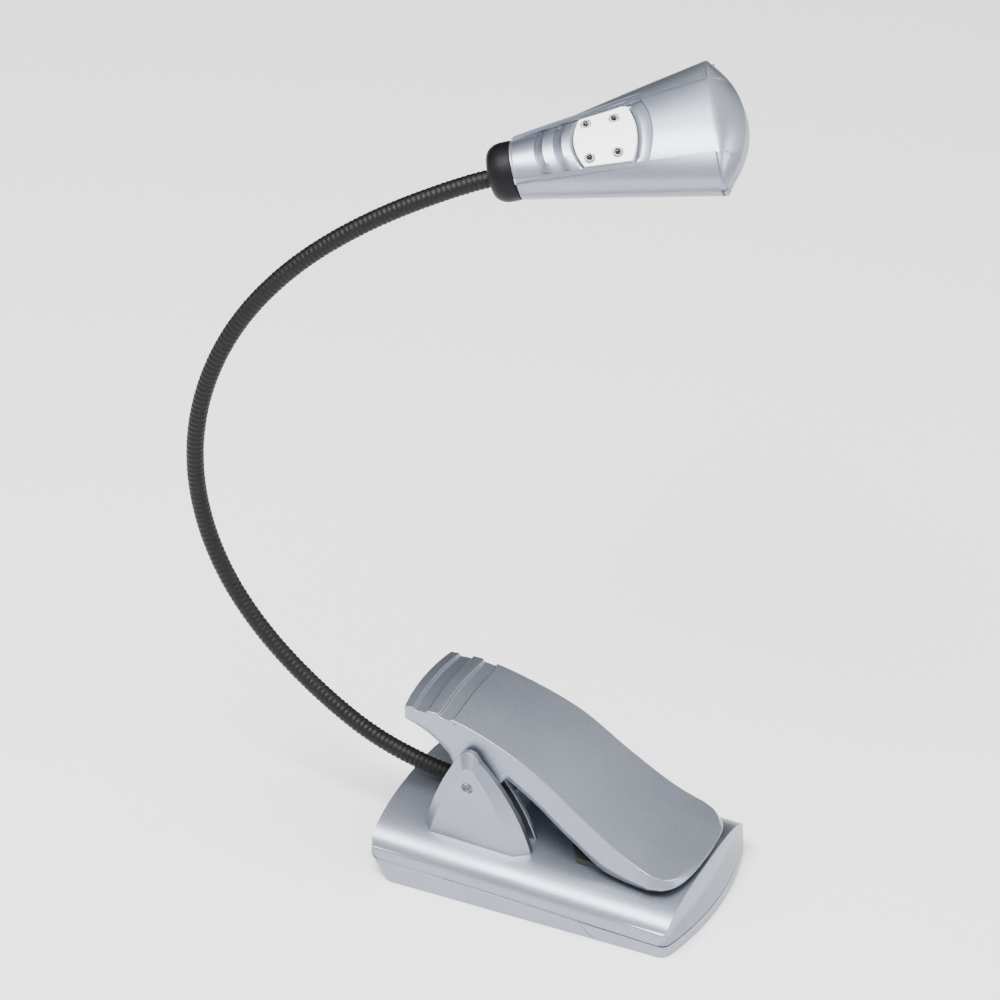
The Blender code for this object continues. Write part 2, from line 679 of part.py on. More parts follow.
def make_arm(hinge):
    outer = block(22, 10, lambda u, v: arm_point(u, v, 0, "top"), lambda u, v: arm_point(u, v, 0, "skirt"))
    arm = add("clip_lever", outer, smooth=40)

    outline = [(x * MM, DECK + z * MM) for x, z in EAR_FRONT]
    for step in range(7):
        turn = pi + step * EAR_SWEEP / 6
        outline.append((PIN_X + EAR_RADIUS * cos(turn), PIN_Z - EAR_DROP + EAR_RADIUS * sin(turn)))
    outline += [(x * MM, DECK + z * MM) for x, z in EAR_BACK]
    boolean(arm, add("ears", prism(outline, -EAR_OUT, EAR_OUT)), "UNION")

    def under(u, v):
        x, y, z = arm_point(u, v, ARM_WALL, "skirt")
        return x, y, z - ARM_SKIRT_REACH

    hollow = block(22, 6, lambda u, v: arm_point(u, v, ARM_WALL, "top"), under)
    boolean(arm, add("arm_hollow", hollow))
    bore = cylinder((PIN_X, -30 * MM, PIN_Z), (PIN_X, 30 * MM, PIN_Z), PIN_RADIUS + GAP)
    boolean(arm, add("ear_bore", bore))
    hang(arm, hinge)
    start = ARM_PAD_BACK

    def pad_top(u, v):
        x = start + (u + 1) / 2 * (PAD_FRONT - start)
        y = v * ARM_PAD_HALF_WIDTH
        across = y / smooth_value(ARM_HALF_WIDTH, x)
        return x, y, DECK + smooth_value(ARM_TOP, x) - ARM_WALL + ARM_CROWN * (1 - across**2) - GAP

    def pad_bottom(u, v):
        x, y, _ = pad_top(u, v)
        return x, y, pad_level(x) + GAP

    pad = add("lever_jaw_pad", block(4, 6, pad_top, pad_bottom), "black_rubber", 35)
    hang(pad, hinge)


def pad_level(x):
    """Top of the lower pad: level across, along the slope of the cover."""
    return cover_height(x) - PAD_RECESS + PAD_THICKNESS


def pad_block(grow, below, above):
    """A slab with the lower pad's plan, grown by grow, between two offsets from the cover's crown."""
    x0, x1, half = PAD_BACK - grow, PAD_FRONT + grow, PAD_HALF_WIDTH + grow
    outline = [
        (x0 + PAD_CORNER[0], -half),
        (x1 - PAD_CORNER[0], -half),
        (x1, -half + PAD_CORNER[1]),
        (x1, half - PAD_CORNER[1]),
        (x1 - PAD_CORNER[0], half),
        (x0 + PAD_CORNER[0], half),
        (x0, half - PAD_CORNER[1]),
        (x0, -half + PAD_CORNER[1]),
    ]
    bm = prism(outline, 0, 1, "Z")
    for vert in bm.verts:
        vert.co.z = cover_height(vert.co.x) + (below if vert.co.z < 0.5 else above)
    return bm


def make_hinge():
    length = BRACKET_FACE - PIN_RECESS
    pin = cylinder((PIN_X, -length, PIN_Z), (PIN_X, length, PIN_Z), PIN_RADIUS)
    add("hinge_pin", pin, "steel", 35)
    add("base_jaw_pad", pad_block(0.0, -PAD_RECESS, PAD_THICKNESS - PAD_RECESS), "black_rubber", 35)
    make_spring()


def make_spring():
    """Coils round the pin, one leg on the boss and one under the arm's thumb end."""
    base_leg = Vector((SPRING_BASE_LEG, BOSS_TOP + GAP + SPRING_WIRE - PIN_Z))
    underside = DECK + smooth_value(ARM_TOP, PIN_X + SPRING_ARM_LEG) - ARM_WALL
    arm_leg = Vector((SPRING_ARM_LEG, underside - GAP - SPRING_WIRE - PIN_Z))
    first = atan2(base_leg.y, base_leg.x) - acos(SPRING_RADIUS / base_leg.length)
    last = atan2(arm_leg.y, arm_leg.x) + acos(SPRING_RADIUS / arm_leg.length) - 2 * pi
    last -= 2 * pi * SPRING_TURNS
    steps = 12 * SPRING_TURNS
    points = [Vector((PIN_X + base_leg.x, -SPRING_HALF, PIN_Z + base_leg.y))]
    for step in range(steps + 1):
        share = step / steps
        turn = first + (last - first) * share
        y = -SPRING_HALF + 2 * SPRING_HALF * share
        points.append(Vector((PIN_X + SPRING_RADIUS * cos(turn), y, PIN_Z + SPRING_RADIUS * sin(turn))))
    points.append(Vector((PIN_X + arm_leg.x, SPRING_HALF, PIN_Z + arm_leg.y)))
    wire("torsion_spring", points, SPRING_WIRE, "steel")


# Gooseneck


def heading(angle, swing):
    """Direction of the neck: angle from level (0 towards -X, 90 up), swing about Z."""
    return Vector((-cos(angle) * cos(swing), -cos(angle) * sin(swing), sin(angle)))


def heading_sum(angle, swing):
    """Integral of the heading over the angle."""
    return Vector((-sin(angle) * cos(swing), -sin(angle) * sin(swing), -cos(angle)))


def neck_length():
    return sum(length for length, bend in NECK_RISING + NECK_RETURN) * MM


def neck_place(distance):
    """Frame of the neck at a distance from the boss: X along it, Y level and across its bends."""
    position = Vector((BOSS_FRONT, 0, NECK_START_Z))
    angle, swing = radians(NECK_START_TILT), 0.0
    left = distance
    for turned_by, bends in ((0.0, NECK_RISING), (radians(NECK_SWING), NECK_RETURN)):
        for length, bend in bends:
            part = min(left, length * MM)
            if part <= 0:
                continue
            swing = turned_by
            turn = radians(bend) * part / (length * MM)
            step = heading_sum(angle + turn, swing) - heading_sum(angle, swing)
            position += step * part / turn
            angle += turn
            left -= part
    forward = heading(angle, swing)
    position += forward * left
    side = Vector((-sin(swing), cos(swing), 0))
    up = forward.cross(side)
    frame = Matrix((forward, side, up)).transposed().to_4x4()
    frame.translation = position
    return frame


def neck_segment(start, end, socket, ball):
    """A round length of neck: a cup at its start and a ball at its end, both about the joints."""
    stations = []
    rim = sqrt((NECK_RADIUS + GAP) ** 2 - NECK_RADIUS**2)
    if socket:
        for step in range(4):
            turn = acos(rim / (NECK_RADIUS + GAP)) * step / 3
            offset, radius = (NECK_RADIUS + GAP) * cos(turn), (NECK_RADIUS + GAP) * sin(turn)
            stations.append((start, offset, radius))
        first = start + rim
    else:
        stations += [(start, 0, 0), (start, 0, NECK_RADIUS)]
        first = start
    count = max(int((end - first) / NECK_STEP), 1)
    for step in range(1, count + 1):
        stations.append((first + (end - first) * step / count, 0, NECK_RADIUS))
    if ball:
        for step in range(1, 5):
            turn = pi / 2 * step / 4
            stations.append((end, NECK_RADIUS * sin(turn), NECK_RADIUS * cos(turn)))
    else:
        stations.append((end, 0, 0))
    return swept(stations)


def swept(stations):
    """A solid through rings, each (distance along the neck, offset along its tangent, radius)."""
    bm = bmesh.new()
    rings = []
    for distance, offset, radius in stations:
        frame = neck_place(distance)
        if radius < 1e-6:
            rings.append([bm.verts.new(frame @ Vector((offset, 0, 0)))])
            continue
        ring = []
        for side in range(NECK_SIDES):
            turn = 2 * pi * side / NECK_SIDES
            ring.append(bm.verts.new(frame @ Vector((offset, radius * cos(turn), radius * sin(turn)))))
        rings.append(ring)
    for ring, following in zip(rings, rings[1:]):
        for i in range(NECK_SIDES):
            j = (i + 1) % NECK_SIDES
            if len(ring) == 1:
                bm.faces.new((ring[0], following[i], following[j]))
            elif len(following) == 1:
                bm.faces.new((ring[i], following[0], ring[j]))
            else:
                bm.faces.new((ring[i], following[i], following[j], ring[j]))
    return bm


def make_neck():
    """The neck in stretches that meet at ball joints. Returns the last pivot."""
    places = [joint * MM for joint in NECK_JOINTS]
    add("neck_root", neck_segment(-NECK_IN_BOSS, places[0], False, True), "neck_coil", 40)
    ferrule = cylinder(
        (BOSS_FRONT - FERRULE_OUT, 0, NECK_START_Z),
        (BOSS_FRONT + FERRULE_IN, 0, NECK_START_Z),
        NECK_RADIUS + FERRULE_WALL,
    )
    ferrule = add("neck_ferrule", ferrule, "black_plastic", 35)
    bore = [(-NECK_IN_BOSS - 2 * MM, 0, 0), (-NECK_IN_BOSS - 2 * MM, 0, NECK_RADIUS + GAP)]
    bore += [(5 * MM, 0, NECK_RADIUS + GAP), (5 * MM, 0, 0)]
    boolean(ferrule, add("ferrule_bore", swept(bore)))
    parent = None
    for number, start in enumerate(places, 1):
        last = number == len(places)
        end = neck_length() + NECK_IN_COLLAR if last else places[number]
        parent = pivot(f"neck_joint_{number}", neck_place(start), parent)
        stretch = add(f"neck_{number}", neck_segment(start, end, True, not last), "neck_coil", 40)
        hang(stretch, parent)
    return parent


# Head, in its own frame: X away from the neck, Z out of the lit side


def head_frame():
    neck = neck_place(neck_length())
    roll = Matrix.Rotation(radians(HEAD_ROLL), 4, "X")
    return neck @ roll @ Matrix.Translation((COLLAR_LENGTH, 0, NECK_OFFSET))


def add_head(name, bm, material="silver_paint", smooth=None):
    bmesh.ops.transform(bm, matrix=head_frame(), verts=bm.verts)
    return add(name, bm, material, smooth)


def head_half_width(x):
    return HEAD_NECK_RADIUS + (HEAD_HALF_WIDTH - HEAD_NECK_RADIUS) * x / HEAD_LENGTH


def head_half_depth(x):
    return HEAD_NECK_RADIUS + (HEAD_HALF_DEPTH - HEAD_NECK_RADIUS) * x / HEAD_LENGTH


def head_power(x):
    return 2 + (HEAD_POWER - 2) * min(max(x / HEAD_LENGTH, 0), 1)


def head_depth_at(x, y):
    """Height of the head's outer surface above its middle plane."""
    share = min(abs(y) / head_half_width(x), 1)
    return head_half_depth(x) * (1 - share ** head_power(x)) ** (1 / head_power(x))


def head_end(y):
    return HEAD_LENGTH + HEAD_STEP + HEAD_BULGE * (1 - (y / HEAD_HALF_WIDTH) ** 2)


def head_form(start, inset, top_inset):
    """The head as a closed solid, drawn in by inset all round and by top_inset at its lit side."""

    def surface(sign, depth_inset, step_down):
        def point(u, v):
            station = round((u + 1) / 2 * HEAD_STATIONS)
            share = min(station / (HEAD_STATIONS - 2), 1)
            x = start + share * (HEAD_LENGTH - start)
            turn = v * pi / 2
            power = head_power(x)
            y = (head_half_width(x) - inset) * abs(sin(turn)) ** (2 / power) * (1 if v > 0 else -1)
            depth = head_half_depth(x) - depth_inset
            if station > HEAD_STATIONS - 2:
                x += HEAD_STEP
                depth -= step_down
            if station == HEAD_STATIONS:
                x = head_end(y) - inset
                depth *= HEAD_END_SHARE
            return x, y, sign * depth * max(cos(turn), 0) ** (2 / power)

        return point

    step_down = CHANNEL_DEPTH if top_inset == 0 else 0
    return block(HEAD_STATIONS, 21, surface(1, top_inset, step_down), surface(-1, inset, 0))


def channel_half(x):
    return CHANNEL_NECK_HALF + (CHANNEL_END_HALF - CHANNEL_NECK_HALF) * x / HEAD_LENGTH


def channel_tool(start, end, bulge, low, high, margin=0.0):
    """A slab over the channel between two offsets from the head's surface."""

    def level(offset):
        def point(u, v):
            x = start + (u + 1) / 2 * (end - start) + bulge * v * v
            y = v * (channel_half(x) - margin)
            return x, y, head_depth_at(x, y) + offset

        return point

    return block(max(int((end - start) / (8 * MM)), 1), 13, level(high), level(low))


def window_outline(grow):
    outline = []
    for step in range(9):
        t = -1 + step / 4
        x = WINDOW_END + grow - WINDOW_BULGE * t * t
        outline.append((x, t * (channel_half(x) - WINDOW_MARGIN + grow)))
    for step in range(9):
        t = 1 - step / 4
        x = WINDOW_START - grow + WINDOW_BULGE * t * t
        outline.append((x, t * (channel_half(x) - WINDOW_MARGIN + grow)))
    return outline


def make_head_shells(last_pivot):
    wide = 60 * MM
    front = add_head("head_front_shell", head_form(0.0, 0.0, 0.0), smooth=35)
    boolean(front, add_head("front_hollow", head_form(HEAD_WALL, HEAD_WALL, HEAD_WALL + CHANNEL_DEPTH)))
    boolean(front, add_head("front_half", box((-wide, -wide, -wide), (2 * wide, wide, HEAD_SPLIT))))
    channel = channel_tool(CHANNEL_START, HEAD_LENGTH + 3 * MM, 0.0, -CHANNEL_DEPTH, 5 * MM)
    boolean(front, add_head("channel", channel))
    for number, start in enumerate(FLUTES):
        depth = -CHANNEL_DEPTH - FLUTE_DEPTH
        flute = channel_tool(start, start + FLUTE_WIDTH, FLUTE_BULGE, depth, 5 * MM, FLUTE_MARGIN)
        boolean(front, add_head(f"flute_{number}", flute))
    boolean(front, add_head("window", prism(window_outline(0.0), 0, 15 * MM, "Z")))
    back = add_head("head_back_shell", head_form(0.0, 0.0, 0.0), smooth=35)
    boolean(back, add_head("back_hollow", head_form(HEAD_WALL, HEAD_WALL, HEAD_WALL)))
    boolean(back, add_head("back_half", box((-wide, -wide, HEAD_SPLIT - GAP), (2 * wide, wide, wide))))
    for number, x in enumerate(HEAD_SCREWS):
        ceiling = head_half_depth(x) - CHANNEL_DEPTH - 0.8 * MM
        post = cylinder((x, 0, HEAD_SPLIT), (x, 0, ceiling), POST_RADIUS)
        boolean(front, add_head(f"front_post_{number}", post), "UNION")
        pilot = cylinder((x, 0, HEAD_SPLIT - 1 * MM), (x, 0, 0), SCREW_SHAFT + GAP, 16)
        boolean(front, add_head(f"front_pilot_{number}", pilot))
        low = -head_half_depth(x)
        post = cylinder((x, 0, low + 0.6 * MM), (x, 0, HEAD_SPLIT - GAP), SCREW_HEAD + GAP + 1 * MM)
        boolean(back, add_head(f"back_post_{number}", post), "UNION")
        bore = cylinder((x, 0, low - 1 * MM), (x, 0, 0), SCREW_SHAFT + GAP, 16)
        boolean(back, add_head(f"back_bore_{number}", bore))
        seat = cylinder((x, 0, low - 1 * MM), (x, 0, low + SCREW_SUNK + GAP), SCREW_HEAD + GAP)
        boolean(back, add_head(f"back_seat_{number}", seat))
        head_top = low + SCREW_SUNK
        screw = cylinder((x, 0, head_top - SCREW_HEAD_HEIGHT), (x, 0, head_top), SCREW_HEAD)
        screw = add_head(f"head_screw_{number + 1}", screw, "steel", 35)
        shaft = cylinder((x, 0, head_top - 0.4 * MM), (x, 0, -0.4 * MM), SCREW_SHAFT, 12)
        boolean(screw, add_head(f"head_shaft_{number}", shaft), "UNION")
        hang(screw, last_pivot)
    lead_way = cylinder((-1 * MM, 0, -NECK_OFFSET), (HEAD_WALL + 1 * MM, 0, -NECK_OFFSET), 1.4 * MM, 16)
    boolean(front, add_head("lead_way", lead_way))
    button_hole = cylinder((BUTTON_PLACE, 0, -15 * MM), (BUTTON_PLACE, 0, -2 * MM), BUTTON_RADIUS + GAP)
    boolean(back, add_head("button_hole", button_hole))
    hang(front, last_pivot)
    hang(back, last_pivot)


def make_head_fittings(last_pivot):
    """Collar, lit panel, LEDs, board, switch and lead."""
    bend = []
    for step in range(7):
        turn = pi / 2 * step / 6
        x = -COLLAR_LENGTH + COLLAR_SHOULDER * (1 - cos(turn))
        bend.append((x, COLLAR_BACK_RADIUS + (HEAD_NECK_RADIUS - COLLAR_BACK_RADIUS) * sin(turn)))
    profile = [(-COLLAR_LENGTH, 0)] + bend + [(-GAP, HEAD_NECK_RADIUS), (-GAP, 0)]
    collar = add_head("neck_collar", turned(profile), "black_plastic", 35)
    bore = cylinder((-20 * MM, 0, -NECK_OFFSET), (5 * MM, 0, -NECK_OFFSET), NECK_RADIUS + GAP)
    boolean(collar, add_head("collar_bore", bore))
    pieces = [collar]

    def panel_surface(u, v):
        reach = (WINDOW_END - WINDOW_START) / 2 - WINDOW_BULGE * v * v - GAP
        x = (WINDOW_START + WINDOW_END) / 2 + u * reach
        return x, v * (channel_half(x) - WINDOW_MARGIN - GAP), PANEL_TOP - PANEL_CROWN * v * v

    panel = block(6, 8, panel_surface, lambda u, v: (*panel_surface(u, v)[:2], PANEL_BASE))
    panel = add_head("led_panel", panel, "white_plastic", 35)
    flange = box(
        (WINDOW_START - PANEL_FLANGE, -PANEL_FLANGE_HALF, PANEL_FLANGE_BASE),
        (WINDOW_END + PANEL_FLANGE, PANEL_FLANGE_HALF, PANEL_FLANGE_TOP),
    )
    boolean(panel, add_head("panel_flange", flange), "UNION")
    pieces.append(panel)
    board = box(
        (BOARD_START, -BOARD_HALF_WIDTH, BOARD_TOP - BOARD_THICKNESS),
        (BOARD_END, BOARD_HALF_WIDTH, BOARD_TOP),
    )
    pieces.append(add_head("led_board", board, "circuit_board"))
    for number, (x, y) in enumerate(LED_PLACES):
        x, y = x * MM, y * MM
        hole = cylinder((x, y, 0), (x, y, 15 * MM), LED_RADIUS + GAP, 20)
        boolean(panel, add_head(f"led_hole_{number}", hole))
        base = BOARD_TOP + GAP
        profile = [(base, 0), (base, LED_RADIUS), (PANEL_TOP, LED_RADIUS)]
        for step in range(1, 5):
            turn = pi / 2 * step / 4
            profile.append((PANEL_TOP + LED_RADIUS * sin(turn), LED_RADIUS * cos(turn)))
        bm = turned(profile, 16)
        place = Matrix.Translation((x, y, 0)) @ Matrix.Rotation(-pi / 2, 4, "Y")
        bmesh.ops.transform(bm, matrix=place, verts=bm.verts)
        pieces.append(add_head(f"led_{number + 1}", bm, "clear_lens", 50))
    half = SWITCH_HALF
    top, low = BOARD_TOP - BOARD_THICKNESS - GAP, SWITCH_BASE
    switch = box((BUTTON_PLACE - half, -half, low), (BUTTON_PLACE + half, half, top))
    pieces.append(add_head("switch_body", switch, "black_plastic"))
    y = LEAD_SIDE
    lead = [
        (-NECK_END_GAP, 0, -NECK_OFFSET),
        (HEAD_WALL + 0.6 * MM, 0, -NECK_OFFSET),
        (HEAD_SCREWS[0] - 4.2 * MM, y, -NECK_OFFSET),
        (HEAD_SCREWS[0] + 2.4 * MM, y, 0),
        (BOARD_START - 1.2 * MM, y, BOARD_TOP - BOARD_THICKNESS / 2),
        (BOARD_START - GAP, y, BOARD_TOP - BOARD_THICKNESS / 2),
    ]
    lead = [head_frame() @ Vector(point) for point in lead]
    pieces.append(wire("head_lead", lead, LEAD_RADIUS, "lead_jacket"))
    for piece in pieces:
        hang(piece, last_pivot)
    slide = pivot("button_slide", head_frame() @ Matrix.Translation((BUTTON_PLACE, 0, 0)), last_pivot)
    rest = SWITCH_BASE - GAP - BUTTON_TRAVEL
    floor = -head_half_depth(BUTTON_PLACE)
    flange_low = floor + HEAD_WALL + 3 * GAP
    flange = cylinder((BUTTON_PLACE, 0, flange_low), (BUTTON_PLACE, 0, rest), BUTTON_RADIUS + BUTTON_FLANGE)
    button = add_head("switch_button", flange, "black_plastic", 35)
    cap_low = floor - BUTTON_TRAVEL - BUTTON_PROUD
    cap = cylinder((BUTTON_PLACE, 0, cap_low), (BUTTON_PLACE, 0, rest - 1 * MM), BUTTON_RADIUS)
    boolean(button, add_head("button_cap", cap), "UNION")
    hang(button, slide)


def make_base_lead():
    """From the neck's inner end down the boss to the tray."""
    tray_top = cell_z() + CELL_RADIUS + GAP + TRAY_TOP
    x = lead_x()
    start = neck_place(-NECK_IN_BOSS - GAP).translation
    turn_start = start + Vector((0.9 * MM, 0, -0.1 * MM))
    points = [start, turn_start, (x, 0, start.z - 1.3 * MM), (x, 0, start.z - 3 * MM), (x, 0, tray_top + GAP)]
    wire("base_lead", points, LEAD_RADIUS, "lead_jacket")


def main():
    clear_scene()
    make_materials()
    make_base_cover()
    make_foot()
    make_tray()
    make_cells()
    hinge = pivot("lever_pivot", Matrix.Translation((PIN_X, 0, PIN_Z)))
    make_arm(hinge)
    make_hinge()
    make_base_lead()
    last_pivot = make_neck()
    make_head_shells(last_pivot)
    make_head_fittings(last_pivot)


main()
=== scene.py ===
from math import acos, cos, pi, radians, sin, sqrt

import bmesh
import bpy
from mathutils import Matrix, Vector


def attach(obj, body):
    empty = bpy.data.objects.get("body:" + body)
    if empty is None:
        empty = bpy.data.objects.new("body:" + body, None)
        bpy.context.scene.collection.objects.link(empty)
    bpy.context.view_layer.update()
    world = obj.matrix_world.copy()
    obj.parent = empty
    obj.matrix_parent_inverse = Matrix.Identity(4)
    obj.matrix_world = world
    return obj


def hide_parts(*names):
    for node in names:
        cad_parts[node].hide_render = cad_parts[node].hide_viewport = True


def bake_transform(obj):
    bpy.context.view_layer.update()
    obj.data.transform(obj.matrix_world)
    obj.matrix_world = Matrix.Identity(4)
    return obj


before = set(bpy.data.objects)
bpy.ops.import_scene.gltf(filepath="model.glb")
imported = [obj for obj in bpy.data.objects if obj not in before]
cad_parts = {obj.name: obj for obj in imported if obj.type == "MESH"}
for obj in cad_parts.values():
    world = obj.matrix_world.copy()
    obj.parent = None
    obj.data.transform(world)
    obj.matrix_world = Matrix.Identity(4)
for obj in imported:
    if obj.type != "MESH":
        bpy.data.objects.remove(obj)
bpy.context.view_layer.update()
mm = 0.001
print("frame loaded:", len(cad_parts), "nodes")


# Materials


def colour(hexCode):
    # sRGB hex to linear
    parts = [int(hexCode[i : i + 2], 16) / 255 for i in (0, 2, 4)]
    return [p / 12.92 if p <= 0.04045 else ((p + 0.055) / 1.055) ** 2.4 for p in parts] + [1.0]


def addNode(owner, kind, settings=None, links=None):
    # a socket goes by its name, or by its number where several share a name
    node = owner.node_tree.nodes.new(kind)
    for key, value in (settings or {}).items():
        if isinstance(key, int) or key in node.inputs:
            node.inputs[key].default_value = value
        else:
            setattr(node, key, value)
    for key, source in (links or {}).items():
        owner.node_tree.links.new(source, node.inputs[key])
    return node


def newMaterial(name, settings):
    material = bpy.data.materials.new(name)
    material.use_nodes = True
    shader = material.node_tree.nodes["Principled BSDF"]
    for socket, value in settings.items():
        shader.inputs[socket].default_value = value
    place = addNode(material, "ShaderNodeTexCoord").outputs["Object"]
    return material, shader, place


def plugIn(material, shader, sources):
    for socket, source in sources.items():
        material.node_tree.links.new(source, shader.inputs[socket])


# Most of a noise's values lie between these two
noiseSpread = {"From Min": 0.3, "From Max": 0.7}


# Metallic silver lacquer sprayed on moulded ABS: aluminium flakes give a fine sparkle, and the
# lacquer has a very slight orange peel. The flakes are drawn at 0.25 mm, coarser than real.
def makeSilverLacquer():
    look = {
        "noises": ((0.25, 2), (1.6, 1), (18, 3)),  # size in mm and detail of flakes, peel and patches
        "flakes": ("7F848F", "969BA6"),
        "patches": ("F6F7FA", "FFFFFF"),
        "roughness": (0.31, 0.38),
    }
    settings = {"Metallic": 0.86, "Coat Weight": 0.12, "Coat Roughness": 0.3}
    material, shader, place = newMaterial("silverLacquerOnAbs", settings)
    noises = []
    for size, detail in look["noises"]:
        settings = {"Scale": 1 / (size * mm), "Detail": detail}
        noises.append(addNode(material, "ShaderNodeTexNoise", settings, {"Vector": place}).outputs["Fac"])
    flake, peel, patch = noises
    tones = []
    for noise, (firstHex, lastHex) in ((flake, look["flakes"]), (patch, look["patches"])):
        level = addNode(material, "ShaderNodeMapRange", noiseSpread, {"Value": noise})
        settings = {"data_type": "RGBA", 6: colour(firstHex), 7: colour(lastHex)}
        mix = addNode(material, "ShaderNodeMix", settings, {0: level.outputs["Result"]})
        tones.append(mix.outputs[2])
    settings = {"data_type": "RGBA", "blend_type": "MULTIPLY", 0: 1.0}
    both = addNode(material, "ShaderNodeMix", settings, {6: tones[0], 7: tones[1]})
    low, high = look["roughness"]
    settings = {**noiseSpread, "To Min": low, "To Max": high}
    rough = addNode(material, "ShaderNodeMapRange", settings, {"Value": patch})
    fine = addNode(material, "ShaderNodeBump", {"Strength": 0.06, "Distance": 0.00004}, {"Height": flake})
    links = {"Height": peel, "Normal": fine.outputs["Normal"]}
    soft = addNode(material, "ShaderNodeBump", {"Strength": 0.1, "Distance": 0.00005}, links)
    sources = {"Base Color": both.outputs[2], "Roughness": rough.outputs["Result"]}
    plugIn(material, shader, {**sources, "Normal": soft.outputs["Normal"]})
    return material


# A plain finish with a fine grain: its two colours, roughness range, grain size and relief
def makeGrained(name, firstHex, lastHex, roughness, grainMm, bump, extra=None):
    material, shader, place = newMaterial(name, extra or {})
    settings = {"Scale": 1 / (grainMm * mm), "Detail": 3}
    grain = addNode(material, "ShaderNodeTexNoise", settings, {"Vector": place}).outputs["Fac"]
    level = addNode(material, "ShaderNodeMapRange", noiseSpread, {"Value": grain})
    settings = {"data_type": "RGBA", 6: colour(firstHex), 7: colour(lastHex)}
    tone = addNode(material, "ShaderNodeMix", settings, {0: level.outputs["Result"]})
    settings = {**noiseSpread, "To Min": roughness[0], "To Max": roughness[1]}
    rough = addNode(material, "ShaderNodeMapRange", settings, {"Value": grain})
    settings = {"Strength": bump, "Distance": grainMm * mm * 0.3}
    relief = addNode(material, "ShaderNodeBump", settings, {"Height": grain})
    sources = {"Base Color": tone.outputs[2], "Roughness": rough.outputs["Result"]}
    plugIn(material, shader, {**sources, "Normal": relief.outputs["Normal"]})
    return material


silverLacquer = makeSilverLacquer()
# Black enamel on close-wound steel wire: deep black, a little worn on the crests
blackEnamelCoil = makeGrained(
    "blackEnamelOnSteelCoil", "060607", "0D0D0E", (0.42, 0.58), 0.5, 0.2, {"Specular IOR Level": 0.22}
)
# Black ABS, moulded with a fine spark-eroded texture that dulls its shine
blackAbs = makeGrained(
    "blackMouldedAbs", "070709", "0D0D10", (0.42, 0.54), 0.35, 0.12, {"Specular IOR Level": 0.15}
)
# Silicone pad, moulded dull and slightly grained
siliconePad = makeGrained("blackSiliconePad", "161617", "222223", (0.7, 0.85), 0.6, 0.25)
# White polycarbonate, moulded and lightly polished: a clean, soft shine
whitePanel = makeGrained("whiteMouldedPolycarbonate", "F2F3F5", "FAFAFB", (0.28, 0.36), 0.6, 0.05)
# Bright nickel on steel, tumbled: a warm, slightly hazy mirror
nickelSteel = makeGrained("nickelPlatedSteel", "B9B4A6", "CBC7BC", (0.22, 0.36), 0.4, 0.08, {"Metallic": 1.0})
# Music wire, drawn and oiled: grey with bright streaks
springWire = makeGrained("drawnSpringWire", "77787B", "96979A", (0.25, 0.4), 0.3, 0.1, {"Metallic": 1.0})
# Solder mask, printed on glass laminate: even green with a satin skin
greenLaminate = makeGrained("greenSolderMask", "1E5B38", "24693F", (0.3, 0.42), 0.8, 0.08)
# Printed film shrunk over a cell: dark with a foil gleam
cellSleeve = makeGrained("blackCellSleeve", "1A1C20", "23262B", (0.25, 0.35), 1.5, 0.03, {"Metallic": 0.3})
# PVC, extruded over wire: smooth red
leadPvc = makeGrained("redPvcInsulation", "7C1519", "8C1A1E", (0.4, 0.5), 0.6, 0.05)
# Studio card, coated matt white
studioCard = makeGrained("whiteStudioCard", "F4F4F4", "F7F7F7", (0.8, 0.9), 3, 0.02)


# Clear epoxy, cast in a mould: a bright body with a polished skin
def makeClearEpoxy():
    look = {"hazeMm": 0.8, "colours": ("F1F4F8", "FFFFFF"), "roughness": (0.01, 0.05)}
    settings = {"Transmission Weight": 1.0, "IOR": 1.45}
    material, shader, place = newMaterial("clearCastEpoxy", settings)
    settings = {"Scale": 1 / (look["hazeMm"] * mm), "Detail": 2}
    haze = addNode(material, "ShaderNodeTexNoise", settings, {"Vector": place}).outputs["Fac"]
    firstHex, lastHex = look["colours"]
    settings = {"data_type": "RGBA", 6: colour(firstHex), 7: colour(lastHex)}
    tone = addNode(material, "ShaderNodeMix", settings, {0: haze})
    low, high = look["roughness"]
    settings = {**noiseSpread, "To Min": low, "To Max": high}
    rough = addNode(material, "ShaderNodeMapRange", settings, {"Value": haze})
    plugIn(material, shader, {"Base Color": tone.outputs[2], "Roughness": rough.outputs["Result"]})
    return material


clearEpoxy = makeClearEpoxy()
print("materials made")


# Helpers


def meshObject(name, bm, material, smoothAngle=35):
    mesh = bpy.data.meshes.new(name)
    bm.to_mesh(mesh)
    bm.free()
    mesh.shade_smooth()
    mesh.set_sharp_from_angle(angle=radians(smoothAngle))
    mesh.materials.append(material)
    piece = bpy.data.objects.new(name, mesh)
    bpy.context.scene.collection.objects.link(piece)
    return piece


def settle(piece, body, slotName, *nodes):
    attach(piece, body)
    if nodes:
        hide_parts(*nodes)


def addBevel(piece, width, segments=3, angle=35):
    bevel = piece.modifiers.new("edges", "BEVEL")
    bevel.width = width
    bevel.segments = segments
    bevel.limit_method = "ANGLE"
    bevel.angle_limit = radians(angle)


def addWall(piece, thickness):
    wall = piece.modifiers.new("wall", "SOLIDIFY")
    wall.thickness = thickness
    wall.offset = -1


def faceAwayFrom(bm, inside):
    # turns every face of a sheet so that it looks away from a point inside the piece
    bmesh.ops.recalc_face_normals(bm, faces=bm.faces)
    facing = sum(f.normal.dot(f.calc_center_median() - Vector(inside)) * f.calc_area() for f in bm.faces)
    if facing < 0:
        bmesh.ops.reverse_faces(bm, faces=bm.faces)


